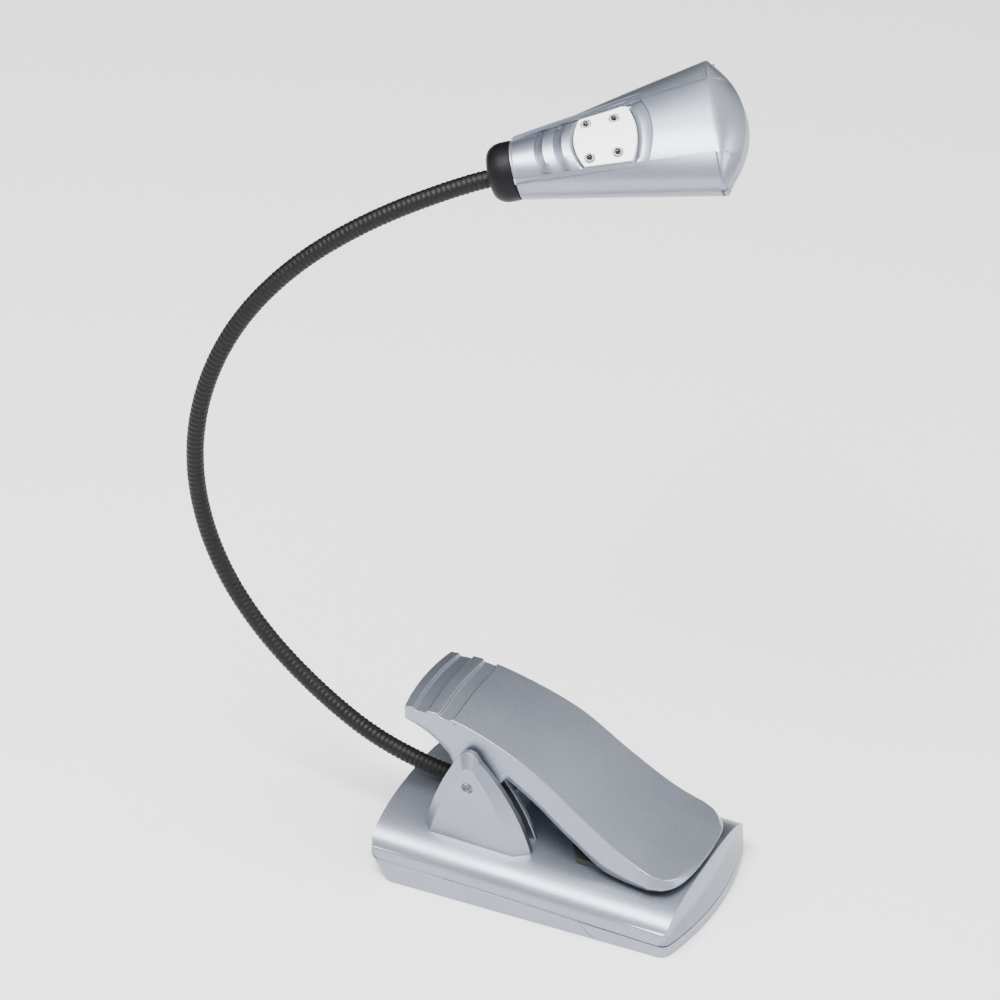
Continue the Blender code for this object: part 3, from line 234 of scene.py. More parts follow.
def sheetOf(rows, columns, place):
    # a grid with one vertex line for each row and column station
    bm = bmesh.new()
    bmesh.ops.create_grid(bm, x_segments=len(rows) - 1, y_segments=len(columns) - 1, size=0.5)
    for vert in bm.verts:
        row = rows[round((vert.co.x + 0.5) * (len(rows) - 1))]
        column = columns[round((vert.co.y + 0.5) * (len(columns) - 1))]
        vert.co = place(row, column)
    bmesh.ops.remove_doubles(bm, verts=bm.verts, dist=2e-6)
    return bm


def joinedCopy(node, flatten=True):
    # a CAD node's triangles joined up, with its flat areas made one face each
    bm = bmesh.new()
    bm.from_mesh(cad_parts[node].data)
    bmesh.ops.remove_doubles(bm, verts=bm.verts, dist=1e-6)
    if flatten:
        bmesh.ops.dissolve_limit(bm, angle_limit=radians(0.5), verts=bm.verts, edges=bm.edges)
    return bm


def fromNode(name, node, material, bevel=0.0, smoothAngle=30):
    piece = meshObject(name, joinedCopy(node), material, smoothAngle)
    if bevel:
        addBevel(piece, bevel, 2, 50)
    return piece


def rampUp(x, start, length):
    # from 0 at the start to 1 a length further on
    return min(max((x - start) / length, 0), 1)


def throughPoints(points, x):
    # a smooth curve through a few (x, value) points in mm
    x = min(max(x / mm, points[0][0]), points[-1][0])
    index = 0
    while index < len(points) - 2 and x > points[index + 1][0]:
        index += 1

    def slope(i):
        before, after = points[max(i - 1, 0)], points[min(i + 1, len(points) - 1)]
        return (after[1] - before[1]) / (after[0] - before[0])

    (x0, y0), (x1, y1) = points[index], points[index + 1]
    span = x1 - x0
    t = (x - x0) / span
    first = (2 * t**3 - 3 * t**2 + 1) * y0 + (t**3 - 2 * t**2 + t) * span * slope(index)
    second = (3 * t**2 - 2 * t**3) * y1 + (t**3 - t**2) * span * slope(index + 1)
    return (first + second) * mm


def steps(first, last, count):
    return [first + (last - first) * i / count for i in range(count + 1)]


def prismOf(outline, low, high):
    # an outline in X and Z drawn out along Y
    bm = bmesh.new()
    face = bm.faces.new([bm.verts.new((x, low, z)) for x, z in outline])
    made = bmesh.ops.extrude_face_region(bm, geom=[face], use_keep_orig=True)["geom"]
    moved = [g for g in made if isinstance(g, bmesh.types.BMVert)]
    bmesh.ops.translate(bm, verts=moved, vec=(0, high - low, 0))
    bmesh.ops.recalc_face_normals(bm, faces=bm.faces)
    return bm


def turned(profile, axis, sides, place, closed=False):
    # a profile in X and Z turned about an axis, then put in its place
    bm = bmesh.new()
    verts = [bm.verts.new((x, 0, z)) for x, z in profile]
    ends = verts[1:] + verts[:1] if closed else verts[1:]
    for pair in zip(verts, ends):
        bm.edges.new(pair)
    geom = list(bm.verts) + list(bm.edges)
    bmesh.ops.spin(bm, geom=geom, cent=(0, 0, 0), axis=axis, angle=2 * pi, steps=sides, use_merge=True)
    bmesh.ops.remove_doubles(bm, verts=bm.verts, dist=1e-6)
    bmesh.ops.transform(bm, matrix=place, verts=bm.verts)
    bmesh.ops.recalc_face_normals(bm, faces=bm.faces)
    return bm

# Base cover

cover = {
    "length": 92.4 * mm,
    "width": 59 * mm,
    "endBulge": 4.6 * mm,
    "topBulge": 0.7 * mm,
    "seamNeckEnd": 7.5 * mm,
    "seamTipEnd": 3.9 * mm,
    "height": 10.8 * mm,
    "land": 1.0 * mm,
    "power": 2.5,
    "wall": 1.5 * mm,
    "edge": 0.8 * mm,
    "corner": 2.2 * mm,
    "seamLift": 0.2 * mm,
    "columns": 56,
}


def seamHeight(x):
    share = (x + cover["length"] / 2) / cover["length"]
    return cover["seamNeckEnd"] + (cover["seamTipEnd"] - cover["seamNeckEnd"]) * share


def coverEnd(y, bulge):
    radius = cover["corner"]
    over = max(abs(y) - (cover["width"] / 2 - radius), 0) / radius
    drawn = radius * (1 - sqrt(max(1 - over * over, 0)))
    return cover["length"] / 2 + bulge * (1 - (2 * y / cover["width"]) ** 2) - drawn


def coverRise(y):
    share = min(abs(y) / (cover["width"] / 2), 1)
    land, power = cover["land"], cover["power"]
    return land + (cover["height"] - land) * (1 - share**power) ** (1 / power)


def makeCover():
    rows = ["seamStart", -1.0, -0.5, 0.0, 0.5, 1.0, "seamEnd"]
    columns = ["left"] + steps(-1, 1, cover["columns"]) + ["right"]

    def place(row, column):
        v = {"left": -1, "right": 1}.get(column, column)
        turn = v * pi / 2
        y = cover["width"] / 2 * abs(sin(turn)) ** (2 / cover["power"]) * (1 if v > 0 else -1)
        rise = 0.0 if column in ("left", "right") else coverRise(y)
        if row in ("seamStart", "seamEnd"):
            x = coverEnd(y, cover["endBulge"]) * (-1 if row == "seamStart" else 1)
            return Vector((x, y, seamHeight(x) + cover["seamLift"]))
        x = coverEnd(y, cover["topBulge"]) * row
        return Vector((x, y, seamHeight(x) + rise))

    bm = sheetOf(rows, columns, place)
    faceAwayFrom(bm, (0, 0, 0))
    piece = meshObject("baseCover", bm, silverLacquer, 30)
    addBevel(piece, cover["edge"], 4, 40)
    addWall(piece, cover["wall"])
    settle(piece, "base", "silver_paint", "base_upper_shell")


makeCover()


# Brackets that carry the pin, with the walls and boss between them

bracket = {
    "pinX": -18.9 * mm,
    "pinZ": 34.3 * mm,
    "inside": 17.2 * mm,
    "shoulder": 19.0 * mm,
    "face": 21.5 * mm,
    "holeRadius": 1.8 * mm,
    "holeDepth": 0.9 * mm,
    "edge": 0.6 * mm,
    "foot": 11.5,
    # left foot, right foot, apex X and Z, bulge of each side, apex radius, in mm
    "root": (-34.4, 0.8, -19.6, 44.8, 1.6, 2.7, 3.4),
    "top": (-31.9, -4.0, -18.6, 40.9, 1.2, 1.7, 2.6),
    "inner": (-32.5, 0.2, -18.8, 41.6, 1.2, 2.4, 2.4),
    "innerWall": (11.5 * mm, 13.0 * mm),
    "innerEdge": 0.25 * mm,
    "drillOut": 0.002,
}

boss = {"ends": (-27 * mm, -10 * mm), "width": 24 * mm, "top": 27 * mm, "foot": 12 * mm, "edge": 0.6 * mm}


def bracketOutline(left, right, apexX, apexZ, leftBulge, rightBulge, tip):
    # a rounded triangle in mm
    foot = bracket["foot"]
    tall, wide = 0.8 * tip, tip * 0.9
    sides = (
        ((left, foot), (apexX - tip, apexZ - tall), leftBulge, 12),
        ((apexX + tip, apexZ - tall), (right, foot), rightBulge, 14),
    )
    points = []
    for number, (first, last, bulge, count) in enumerate(sides):
        first, last = Vector(first), Vector(last)
        out = Vector((-(last - first).y, (last - first).x)).normalized()
        for t in steps(0, 1, count):
            points.append(first.lerp(last, t) + out * bulge * 4 * t * (1 - t))
        if number == 0:
            for step in range(1, 6):
                turn = pi - step * pi / 6
                points.append(Vector((apexX + wide * cos(turn), apexZ - tall + tall * sin(turn))))
    return [(p.x * mm, p.y * mm) for p in points]


def drillHole(piece, side):
    drill = bmesh.new()
    out, radius = bracket["drillOut"], bracket["holeRadius"]
    turn = Matrix.Translation((bracket["pinX"], side * (bracket["face"] + out), bracket["pinZ"]))
    turn = turn @ Matrix.Rotation(pi / 2, 4, "X")
    depth = 2 * (out + bracket["holeDepth"])
    bmesh.ops.create_cone(drill, cap_ends=True, segments=40, radius1=radius, radius2=radius, depth=depth)
    bmesh.ops.transform(drill, matrix=turn, verts=drill.verts)
    cutter = meshObject("drill", drill, silverLacquer)
    cut = piece.modifiers.new("hole", "BOOLEAN")
    cut.object = cutter
    cut.solver = "EXACT"
    return cutter


def makeBrackets():
    root = bracketOutline(*bracket["root"])
    face = bracketOutline(*bracket["top"])
    for side, name in ((-1, "bracketNear"), (1, "bracketFar")):
        bm = prismOf(root, side * bracket["inside"], side * bracket["shoulder"])
        top = max(bm.faces, key=lambda f: f.calc_center_median().y * side)
        made = bmesh.ops.extrude_discrete_faces(bm, faces=[top])["faces"][0]
        for vert in made.verts:
            place = Vector((vert.co.x, vert.co.z))
            index = min(range(len(root)), key=lambda i: (Vector(root[i]) - place).length)
            vert.co = Vector((face[index][0], side * bracket["face"], face[index][1]))
        bmesh.ops.remove_doubles(bm, verts=bm.verts, dist=1e-6)
        bmesh.ops.recalc_face_normals(bm, faces=bm.faces)
        piece = meshObject(name, bm, silverLacquer, 30)
        cutter = drillHole(piece, side)
        addBevel(piece, bracket["edge"], 3, 32)
        baked = bpy.data.meshes.new_from_object(piece.evaluated_get(bpy.context.evaluated_depsgraph_get()))
        piece.modifiers.clear()
        piece.data = baked
        bpy.data.objects.remove(cutter)
        settle(piece, "base", "silver_paint")


def makeInnerWalls():
    inner = bracketOutline(*bracket["inner"])
    low, high = bracket["innerWall"]
    for side, name in ((-1, "innerWallNear"), (1, "innerWallFar")):
        piece = meshObject(name, prismOf(inner, side * low, side * high), silverLacquer, 30)
        addBevel(piece, bracket["innerEdge"], 2, 40)
        settle(piece, "base", "silver_paint")


def makeBoss():
    bm = bmesh.new()
    bmesh.ops.create_cube(bm, size=1)
    front, back = boss["ends"]
    for vert in bm.verts:
        x, y, z = vert.co
        level = boss["top"] if z > 0 else boss["foot"]
        vert.co = Vector((front if x < 0 else back, y * boss["width"], level))
    piece = meshObject("neckBoss", bm, silverLacquer, 30)
    addBevel(piece, boss["edge"], 3, 40)
    settle(piece, "base", "silver_paint")


makeBrackets()
makeInnerWalls()
makeBoss()
print("base cover and brackets made")


# Foot, door and jaw pads

foot = {
    "edge": 0.15 * mm,
    "cornerFrom": (38 * mm, 24 * mm),
    "upright": 0.55,
    "sharp": 0.6,
    "lowerPadEdge": 0.35 * mm,
    "upperPadEdge": 0.3 * mm,
}


def isCorner(edge):
    # an upright edge at one of the foot's four corners
    place = edge.verts[0].co
    line = edge.verts[1].co - place
    if abs(place.x) <= foot["cornerFrom"][0] or abs(place.y) <= foot["cornerFrom"][1]:
        return False
    upright = abs(line.z) > foot["upright"] * line.length
    return upright and edge.calc_face_angle(0) > foot["sharp"] and edge.is_convex


def footPart(name, node):
    # the upright corners are rounded like the cover's, every other edge only a little
    bm = joinedCopy(node)
    corners = [edge for edge in bm.edges if isCorner(edge)]
    bmesh.ops.bevel(
        bm, geom=corners, offset=cover["corner"], segments=4, profile=0.5, affect="EDGES", material=-1
    )
    piece = meshObject(name, bm, silverLacquer, 30)
    addBevel(piece, foot["edge"], 2, 50)
    return piece


settle(footPart("baseFoot", "base_lower_shell"), "base", "silver_paint", "base_lower_shell")
settle(footPart("cellDoor", "battery_door"), "door", "silver_paint", "battery_door")
lowerPad = fromNode("lowerPad", "base_jaw_pad", siliconePad, foot["lowerPadEdge"])
settle(lowerPad, "base", "black_rubber", "base_jaw_pad")
upperPad = fromNode("upperPad", "lever_jaw_pad", siliconePad, foot["upperPadEdge"])
settle(upperPad, "lever", "black_rubber", "lever_jaw_pad")


# Clip arm

arm = {
    "start": -42.6 * mm,
    "end": 45.4 * mm,
    "crown": 0.7 * mm,
    "draft": 1.4 * mm,
    "draftRun": (-30 * mm, 40 * mm),
    "wall": 1.8 * mm,
    "edge": 0.6 * mm,
    # (X, value) in mm
    "top": ((-43, 52.4), (-30, 52.6), (-15, 48.9), (0, 42.4), (15, 32.0), (30, 22.8), (46, 16.9)),
    "skirt": (
        *((-43, 48.8), (-36, 46.5), (-27, 41.5), (-10, 38.6)),
        *((0, 33.6), (12, 25.0), (24, 17.2), (46, 15.4)),
    ),
    "halfWidth": ((-43, 15.4), (-20, 16.0), (0, 17.4), (20, 18.6), (34, 19.6), (46, 20.6)),
    "thumbArc": 1.2 * mm,
    "thumbEdge": (1.5 * mm, 15 * mm),
    "tipArc": 8.5 * mm,
    "tipPower": 3.4,
    "tipTurn": (36 * mm, 9 * mm),
    "tipHalf": 20 * mm,
    "tipLift": 1.9 * mm,
    "liftRun": (20 * mm, 20 * mm),
    "grooves": ((-39.5, -34.7), (-31.0, -26.3)),
    "grooveDepth": 0.85 * mm,
    "grooveLean": 0.35 * mm,
    "earRadius": 5.6 * mm,
    "earDrop": 0.6 * mm,
    "earEnds": (-6.2 * mm, 8.6 * mm),
    "earRuns": (3.4 * mm, 1.8 * mm),
    "earTop": 36.0 * mm,
    # first and last share of the arm's length, and the steps between
    "rowRuns": (
        *((0, 0.03, 1), (0.07, 0.115, 1), (0.2, 0.27, 6)),
        *((0.28, 0.42, 34), (0.43, 0.9, 40), (0.91, 1.0, 9)),
    ),
    "rowGap": 0.004,
}


def armSkirtHeight(x):
    # the skirt hangs in a round ear at the pin and runs back to its plain line on both sides
    plain = throughPoints(arm["skirt"], x)
    reach = x - bracket["pinX"]
    (front, back), (frontRun, backRun) = arm["earEnds"], arm["earRuns"]
    if reach <= front - frontRun or reach >= back + backRun:
        return plain
    radius, top = arm["earRadius"], arm["earTop"]
    arcStart, arcEnd = -radius * 0.98, radius * 0.82
    centre = bracket["pinZ"] - arm["earDrop"]
    if reach < arcStart:
        share = rampUp(reach, front - frontRun, arcStart - (front - frontRun))
        return plain + (centre - plain) * share**1.6
    if reach < arcEnd:
        return centre - sqrt(max(radius**2 - reach**2, 0))
    if reach < back:
        start = centre - sqrt(radius**2 - arcEnd**2)
        share = (reach - arcEnd) / (back - arcEnd)
        return start + (top - start) * share**0.8
    share = (reach - back) / backRun
    return top + (plain - top) * share


def armPlace(row, v):
    share, groove = row
    thumbX = arm["start"] + arm["thumbArc"] * v * v
    tipX = arm["end"] - arm["tipArc"] * (1 - sqrt(max(1 - abs(v) ** arm["tipPower"], 0)))
    x = thumbX + share * (tipX - thumbX)
    top = throughPoints(arm["top"], x) + arm["crown"] * (1 - v * v) - groove
    return Vector((x, v * throughPoints(arm["halfWidth"], x), top))


def armRows():
    length = arm["end"] - arm["start"]
    stations = []
    for first, last in arm["grooves"]:
        low, high = (first * mm - arm["start"]) / length, (last * mm - arm["start"]) / length
        deep, lean = arm["grooveDepth"], arm["grooveLean"] / length
        stations += [(low, 0.0), (low + lean, deep), (high - lean, deep), (high, 0.0)]
    spans = ((stations[0][0], stations[3][0]), (stations[4][0], stations[7][0]))
    plain = [share for run in arm["rowRuns"] for share in steps(*run)]
    gap = arm["rowGap"]
    stations += [(s, 0.0) for s in plain if not any(low - gap < s < high + gap for low, high in spans)]
    return sorted(stations)


def makeArm():
    bm = sheetOf(armRows(), steps(-1, 1, 36), armPlace)
    # the rim is drawn down in steps to the skirt's edge, leaning out a little
    rim = [e for e in bm.edges if e.is_boundary]
    hang = {}
    for vert in {v for e in rim for v in e.verts}:
        lean = Vector((0, 1 if vert.co.y > 0 else -1, 0))
        pull = rampUp(vert.co.x, *arm["tipTurn"])
        lean = (lean * (1 - pull * (1 - abs(vert.co.y) / arm["tipHalf"])) + Vector((pull, 0, 0))).normalized()
        edge, half = arm["thumbEdge"]
        if vert.co.x < arm["start"] + edge and abs(vert.co.y) < half:
            lean = Vector((-0.2, 0, 0))
        hang[vert] = (vert.co.copy(), lean)
    for level in steps(0, 1, 4)[1:]:
        made = bmesh.ops.extrude_edge_only(bm, edges=rim)["geom"]
        rim = [g for g in made if isinstance(g, bmesh.types.BMEdge) and g.is_boundary]
        moved = {}
        for vert in [g for g in made if isinstance(g, bmesh.types.BMVert)]:
            source = next(e.other_vert(vert) for e in vert.link_edges if e.other_vert(vert) in hang)
            moved[vert] = hang[source]
        for vert, (origin, lean) in moved.items():
            x, y, z = origin
            v = y / throughPoints(arm["halfWidth"], x)
            low = armSkirtHeight(x) if abs(v) > 0.98 else throughPoints(arm["skirt"], x)
            low += arm["tipLift"] * (1 - v * v) * rampUp(x, *arm["liftRun"])
            draft = arm["draft"] * rampUp(x, *arm["draftRun"]) * level
            vert.co = origin + lean * draft
            vert.co.z = z + (low - z) * level
        hang = moved
    bmesh.ops.remove_doubles(bm, verts=bm.verts, dist=3e-5)
    faceAwayFrom(bm, (0, 0, 20 * mm))
    piece = meshObject("clipArm", bm, silverLacquer, 30)
    addBevel(piece, arm["edge"], 3, 38)
    addWall(piece, arm["wall"])
    settle(piece, "lever", "silver_paint", "clip_lever")


makeArm()
print("clip arm made")


# Gooseneck

neck = {
    "radius": 2.6 * mm,
    "ribPitch": 1.5 * mm,
    "ribDepth": 0.22 * mm,
    "ribShape": ((0.0, 1.0), (0.2, 0.25), (0.5, 0.0), (0.8, 0.25)),  # share of the pitch, dip of the depth
    "startX": -27 * mm,
    "startZ": 20.6 * mm,
    "tilt": 2.0,
    "rising": ((26, 16), (16, 13), (26, 11.5), (20, 12), (46.7, 35.5)),
    "returning": ((60.7, 41), (24, 13.5), (24, 9.5), (22, 6), (6.4, 5.1)),
    "swing": 21.7,
    "joints": (22, 66, 110, 154, 198, 242),
    "inBoss": 11.5 * mm,
    "inCollar": 6.4 * mm,
    "blendHalf": 17 * mm,
    "grommetEdge": 0.3 * mm,
}


def headingSum(angle, swing):
    return Vector((-sin(angle) * cos(swing), -sin(angle) * sin(swing), -cos(angle)))


def neckLength():
    return sum(length for length, bend in neck["rising"] + neck["returning"]) * mm


def neckFrame(distance):
    # X along the neck, Y level and across its bends, at a distance from the boss
    position = Vector((neck["startX"], 0, neck["startZ"]))
    angle, swing, left = radians(neck["tilt"]), 0.0, distance
    for turnedBy, bends in ((0.0, neck["rising"]), (radians(neck["swing"]), neck["returning"])):
        for length, bend in bends:
            part = min(left, length * mm)
            if part <= 0:
                continue
            swing = turnedBy
            turn = radians(bend) * part / (length * mm)
            position += (headingSum(angle + turn, swing) - headingSum(angle, swing)) * part / turn
            angle += turn
            left -= part
    forward = Vector((-cos(angle) * cos(swing), -cos(angle) * sin(swing), sin(angle)))
    position += forward * left
    side = Vector((-sin(swing), cos(swing), 0))
    matrix = Matrix((forward, side, forward.cross(side))).transposed().to_4x4()
    matrix.translation = position
    return matrix


def makeNeck():
    joints = [joint * mm for joint in neck["joints"]]
    cuts = [-neck["inBoss"]] + [(a + b) / 2 for a, b in zip(joints, joints[1:])]
    cuts.append(neckLength() + neck["inCollar"])
    for number, (first, last) in enumerate(zip(cuts, cuts[1:])):
        turns = round((last - first) / neck["ribPitch"])
        crest, dip = neck["radius"], neck["ribDepth"]
        rows = []
        for turn in range(turns):
            for share, part in neck["ribShape"]:
                rows.append((first + (turn + share) * (last - first) / turns, crest - dip * part))
        rows.append((last, crest - dip))
        frames = {distance: neckFrame(distance) for distance, radius in rows}

        def place(row, column):
            distance, radius = row
            turn = column * 2 * pi
            return frames[distance] @ Vector((0, radius * cos(turn), radius * sin(turn)))

        bm = sheetOf(rows, steps(0, 1, 32), place)
        bmesh.ops.holes_fill(bm, edges=[e for e in bm.edges if e.is_boundary], sides=0)
        bmesh.ops.recalc_face_normals(bm, faces=bm.faces)
        piece = meshObject(f"neckCoil{number + 1}", bm, blackEnamelCoil, 60)
        nodes = ["neck_root", "neck_1"] if number == 0 else [f"neck_{number + 1}"]
        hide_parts(*nodes)
        middle = joints[number]
        start = neckFrame(middle - neck["blendHalf"]).translation
        end = neckFrame(middle + neck["blendHalf"]).translation
        tuple(start)
        tuple(end)
        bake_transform(piece)


makeNeck()
neckGrommet = fromNode("neckGrommet", "neck_ferrule", blackAbs, neck["grommetEdge"])
settle(neckGrommet, "base", "black_plastic", "neck_ferrule")
print("gooseneck made")


# Lamp head, in its own frame: X away from the neck, Z out of the lit side

head = {
    "collar": 7.6 * mm,
    "collarBack": 4.9 * mm,
    "collarShoulder": 4.6 * mm,
    "collarInside": 1 * mm,
    "collarGap": 0.3 * mm,
    "collarEdge": 0.3 * mm,
    "neckRadius": 8.35 * mm,
    "length": 56 * mm,
    "bulge": 8.2 * mm,
    "halfWidth": 20.3 * mm,
    "halfDepth": 9.5 * mm,
    "power": 2.5,
    "roll": 33.2,
    "split": -4.0 * mm,
    "neckOffset": 1.5 * mm,
    "stepLength": 0.4 * mm,
    "endShare": 0.3,
    "wall": 1.4 * mm,
    "edge": 0.2 * mm,
    "channelDepth": 1.3 * mm,
    "channelRun": (0.4 * mm, 22 * mm),
    "channelHalf": (6.2 * mm, 11.8 * mm),
    "flutes": ((6.5, 8.9), (11.9, 14.3)),
    "fluteDepth": 1.0 * mm,
    "window": (17.3 * mm, 35.6 * mm),
    "scoopEnd": 39.6 * mm,
    "scoopDepth": 1.1 * mm,
    "panelTop": 7.6 * mm,
    "floorGap": 0.12 * mm,
    "windowShare": 0.93,
    "wedgeRows": (0.12, 0.25, 0.4, 0.55, 0.7, 0.85, 0.95, 1.0),
    "fluteProfile": ((0.3, 1.0), (1.0, 0.8), (1.7, 0.4)),
    # how far rows arc along the head at the channel's edge: (X, arc) in mm
    "rowBend": (
        *((0, 0), (1.2, 0.1), (6.5, 1.3), (14, 1.5), (17.3, 2.2), (22, 1.2)),
        *((26, 0.0), (31, -1.4), (35.6, -2.2), (39.6, -2.5), (48, -1.5), (56, 0)),
    ),
    "underFrom": 56.8 * mm,
    "underTop": 0.6 * mm,
    "backEdge": 0.25 * mm,
    "buttonEdge": 0.35 * mm,
}


def headFrame():
    turn = Matrix.Rotation(radians(head["roll"]), 4, "X")
    return neckFrame(neckLength()) @ turn @ Matrix.Translation((head["collar"], 0, head["neckOffset"]))


headPlace = headFrame()


def headHalf(x, last):
    return head["neckRadius"] + (last - head["neckRadius"]) * min(x / head["length"], 1)


def headPower(x):
    return 2 + (head["power"] - 2) * min(max(x / head["length"], 0), 1)


def channelHalf(x):
    first, last = head["channelHalf"]
    return first + (last - first) * min(x / head["length"], 1.02)


def turnAtSide(x, y):
    # the section's angle from its top where it is y from the middle
    share = min(y / headHalf(x, head["halfWidth"]), 1)
    return acos(max(1 - share ** headPower(x), 0) ** 0.5)


def turnAtSplit(x):
    share = -head["split"] / headHalf(x, head["halfDepth"])
    return pi - acos(min(share ** (headPower(x) / 2), 1))


def sectionPoint(x, turn, drop=0.0):
    power = headPower(x)
    y = headHalf(x, head["halfWidth"]) * abs(sin(turn)) ** (2 / power)
    z = (headHalf(x, head["halfDepth"]) - drop) * abs(cos(turn)) ** (2 / power)
    return y, z if turn < pi / 2 else -z


def rowBend(x):
    return throughPoints(head["rowBend"], x)


def headRows():
    # (station, how far the floor is cut below its level)
    rows = [(x, 0.0) for x in (0.0, 0.4, 1.0, 2.6, 4.6)]
    deep = head["fluteDepth"] / mm
    for first, last in head["flutes"]:
        rows += [(first, 0.0)] + [(first + run, deep * part) for run, part in head["fluteProfile"]]
        rows += [(last, 0.0), (last + 1.0, 0.0), (last + 2.0, 0.0)]
    start, finish = head["window"][0] / mm, head["window"][1] / mm
    rows += [(x, 0.0) for x in steps(start, finish, 12)]
    scoop, end = head["scoopDepth"] / mm, head["scoopEnd"] / mm
    rows[-1] = (finish, scoop)
    rows += [(finish + 1.2, scoop * 1.05), (finish + 2.4, scoop * 0.95)]
    rows += [(end - 0.5, scoop * 0.75), (end, scoop * 0.65), (end + 0.3, 0.0)]
    rows += [(x, 0.0) for x in steps(end + 1.5, 55.0, 9)]
    return [(x * mm, dip * mm) for x, dip in rows] + [(head["length"], 0.0)]


def channelCut(x):
    # the channel starts shallow at the collar and is full depth further on
    share = rampUp(x, *head["channelRun"])
    return head["channelDepth"] * (0.0 if x < 0.3 * mm else 0.45 + 0.55 * share)


def wedgePoint(row, kind, t, side):
    # the end past the floor, which falls in a curve to the head's far edge
    x = head["length"]
    if kind == "cheek":
        turn = turnAtSplit(x) + (turnAtSide(x, channelHalf(x)) - turnAtSplit(x)) * t
        y = side * sectionPoint(x, turn)[0]
    else:
        y = t * (channelHalf(x) - head["floorGap"])
        turn = turnAtSide(x, abs(y))
    full = headHalf(x, head["halfDepth"]) - head["channelDepth"]
    level = sectionPoint(x, turn)[1]
    z = level - head["channelDepth"] if kind == "floor" else level * full / headHalf(x, head["halfDepth"])
    share = row[1]
    endX = head["bulge"] * (1 - (y / head["halfWidth"]) ** 2)
    endZ = max(z * head["endShare"], -head["endShare"] * full)
    point = Vector((x + head["stepLength"], y, max(z, head["split"])))
    point.x += endX * share
    point.z += (endZ - point.z) * (0.12 * share + 0.88 * share * share)
    if row[0] == "under":
        point.z = -abs(endZ)
    return point


def headPoint(row, column):
    kind, t, side = column
    if row[0] in ("step", "wedge", "under"):
        return headPlace @ wedgePoint(row, kind, t, side)
    x, dip = row
    if kind == "cheek":
        turn = turnAtSplit(x) + (turnAtSide(x, channelHalf(x)) - turnAtSplit(x)) * t
        y, z = sectionPoint(x, turn)
        return headPlace @ Vector((x + rowBend(x) * t**3, side * y, z))
    x = x + rowBend(x) * t * t
    y = t * (channelHalf(x) - head["floorGap"])
    level = sectionPoint(x, turnAtSide(x, abs(y)))[1]
    return headPlace @ Vector((x, y, level - channelCut(x) - dip))


def makeHeadFront():
    edge = head["windowShare"]
    cheek = [("cheek", t) for t in steps(0, 1, 14)]
    floor = [("floor", v) for v in [-1, -edge] + steps(-0.8, 0.8, 12) + [edge, 1]]
    columns = [(kind, t, -1) for kind, t in cheek] + [(kind, t, 0) for kind, t in floor]
    columns += [(kind, t, 1) for kind, t in reversed(cheek)]
    ends = [("step", 0.0)] + [("wedge", t) for t in head["wedgeRows"]] + [("under", 1.0)]
    bm = sheetOf(headRows() + ends, columns, headPoint)
    inverse = headPlace.inverted()
    first, last = head["window"]
    hole = []
    for face in bm.faces:
        centre = inverse @ face.calc_center_median()
        v = centre.y / channelHalf(centre.x)
        if abs(v) <= edge and first + rowBend(first) * v * v < centre.x < last + rowBend(last) * v * v:
            hole.append(face)
    bmesh.ops.delete(bm, geom=hole, context="FACES")
    faceAwayFrom(bm, headPlace @ Vector((25 * mm, 0, 0)))
    piece = meshObject("headFront", bm, silverLacquer, 28)
    addBevel(piece, head["edge"], 3, 40)
    addWall(piece, head["wall"])
    settle(piece, "head", "silver_paint", "head_front_shell")


def makeHeadEndUnder():
    # the front shell's underside at the wide end, between its edge and the joint with the back
    bm = joinedCopy("head_front_shell", flatten=False)
    bmesh.ops.transform(bm, matrix=headPlace.inverted(), verts=bm.verts)
    for place, normal in (((head["underFrom"], 0, 0), (-1, 0, 0)), ((0, 0, head["underTop"]), (0, 0, 1))):
        geom = list(bm.verts) + list(bm.edges) + list(bm.faces)
        bmesh.ops.bisect_plane(bm, geom=geom, plane_co=place, plane_no=normal, clear_outer=True)
    # drawn in a hundredth about a point in the head, at its own level
    centre = Vector((50 * mm, 0, 0))
    shrink = Matrix.Translation(centre) @ Matrix.Scale(0.99, 4) @ Matrix.Translation(-centre)
    for vert in bm.verts:
        level = vert.co.z
        vert.co = shrink @ vert.co
        vert.co.z = level
    bmesh.ops.transform(bm, matrix=headPlace, verts=bm.verts)
    settle(meshObject("headFrontUnder", bm, silverLacquer, 30), "head", "silver_paint")


makeHeadFront()
makeHeadEndUnder()
headBack = fromNode("headBack", "head_back_shell", silverLacquer, head["backEdge"])
settle(headBack, "head", "silver_paint", "head_back_shell")


def makeCollar():
    back, front = head["collarBack"], head["neckRadius"]
    profile = [(-head["collar"], head["collarInside"])]
    for turn in steps(0, pi / 2, 12):
        x = -head["collar"] + head["collarShoulder"] * (1 - cos(turn))
        profile.append((x, back + (front - back) * sin(turn)))
    profile += [(-head["collarGap"], front), (-head["collarGap"], head["collarInside"])]
    bm = turned(profile, (1, 0, 0), 72, headPlace, closed=True)
    piece = meshObject("headCollar", bm, blackAbs, 40)
    addBevel(piece, head["collarEdge"], 2, 50)
    settle(piece, "head", "black_plastic", "neck_collar")


makeCollar()


# Lit panel and LEDs

panel = {
    "reach": 0.915,
    "crown": 0.7 * mm,
    "gap": 0.3 * mm,
    "foot": 4.4 * mm,
    "edge": 0.25 * mm,
}

led = {
    "radius": 1.28 * mm,
    "places": ((21.6, 5.25), (29.5, 5.25), (21.6, -5.25), (29.5, -5.25)),
    "foot": 4.0 * mm,
    # the black ring round each dome is painted shade: it stands for the dark gap between the dome and the
    # panel
    "shadeRingGap": 0.06 * mm,
    "shadeRingWidth": 0.22 * mm,
    "chip": 0.6 * mm,
}


def panelLevel(v):
    return head["panelTop"] - panel["crown"] * v * v


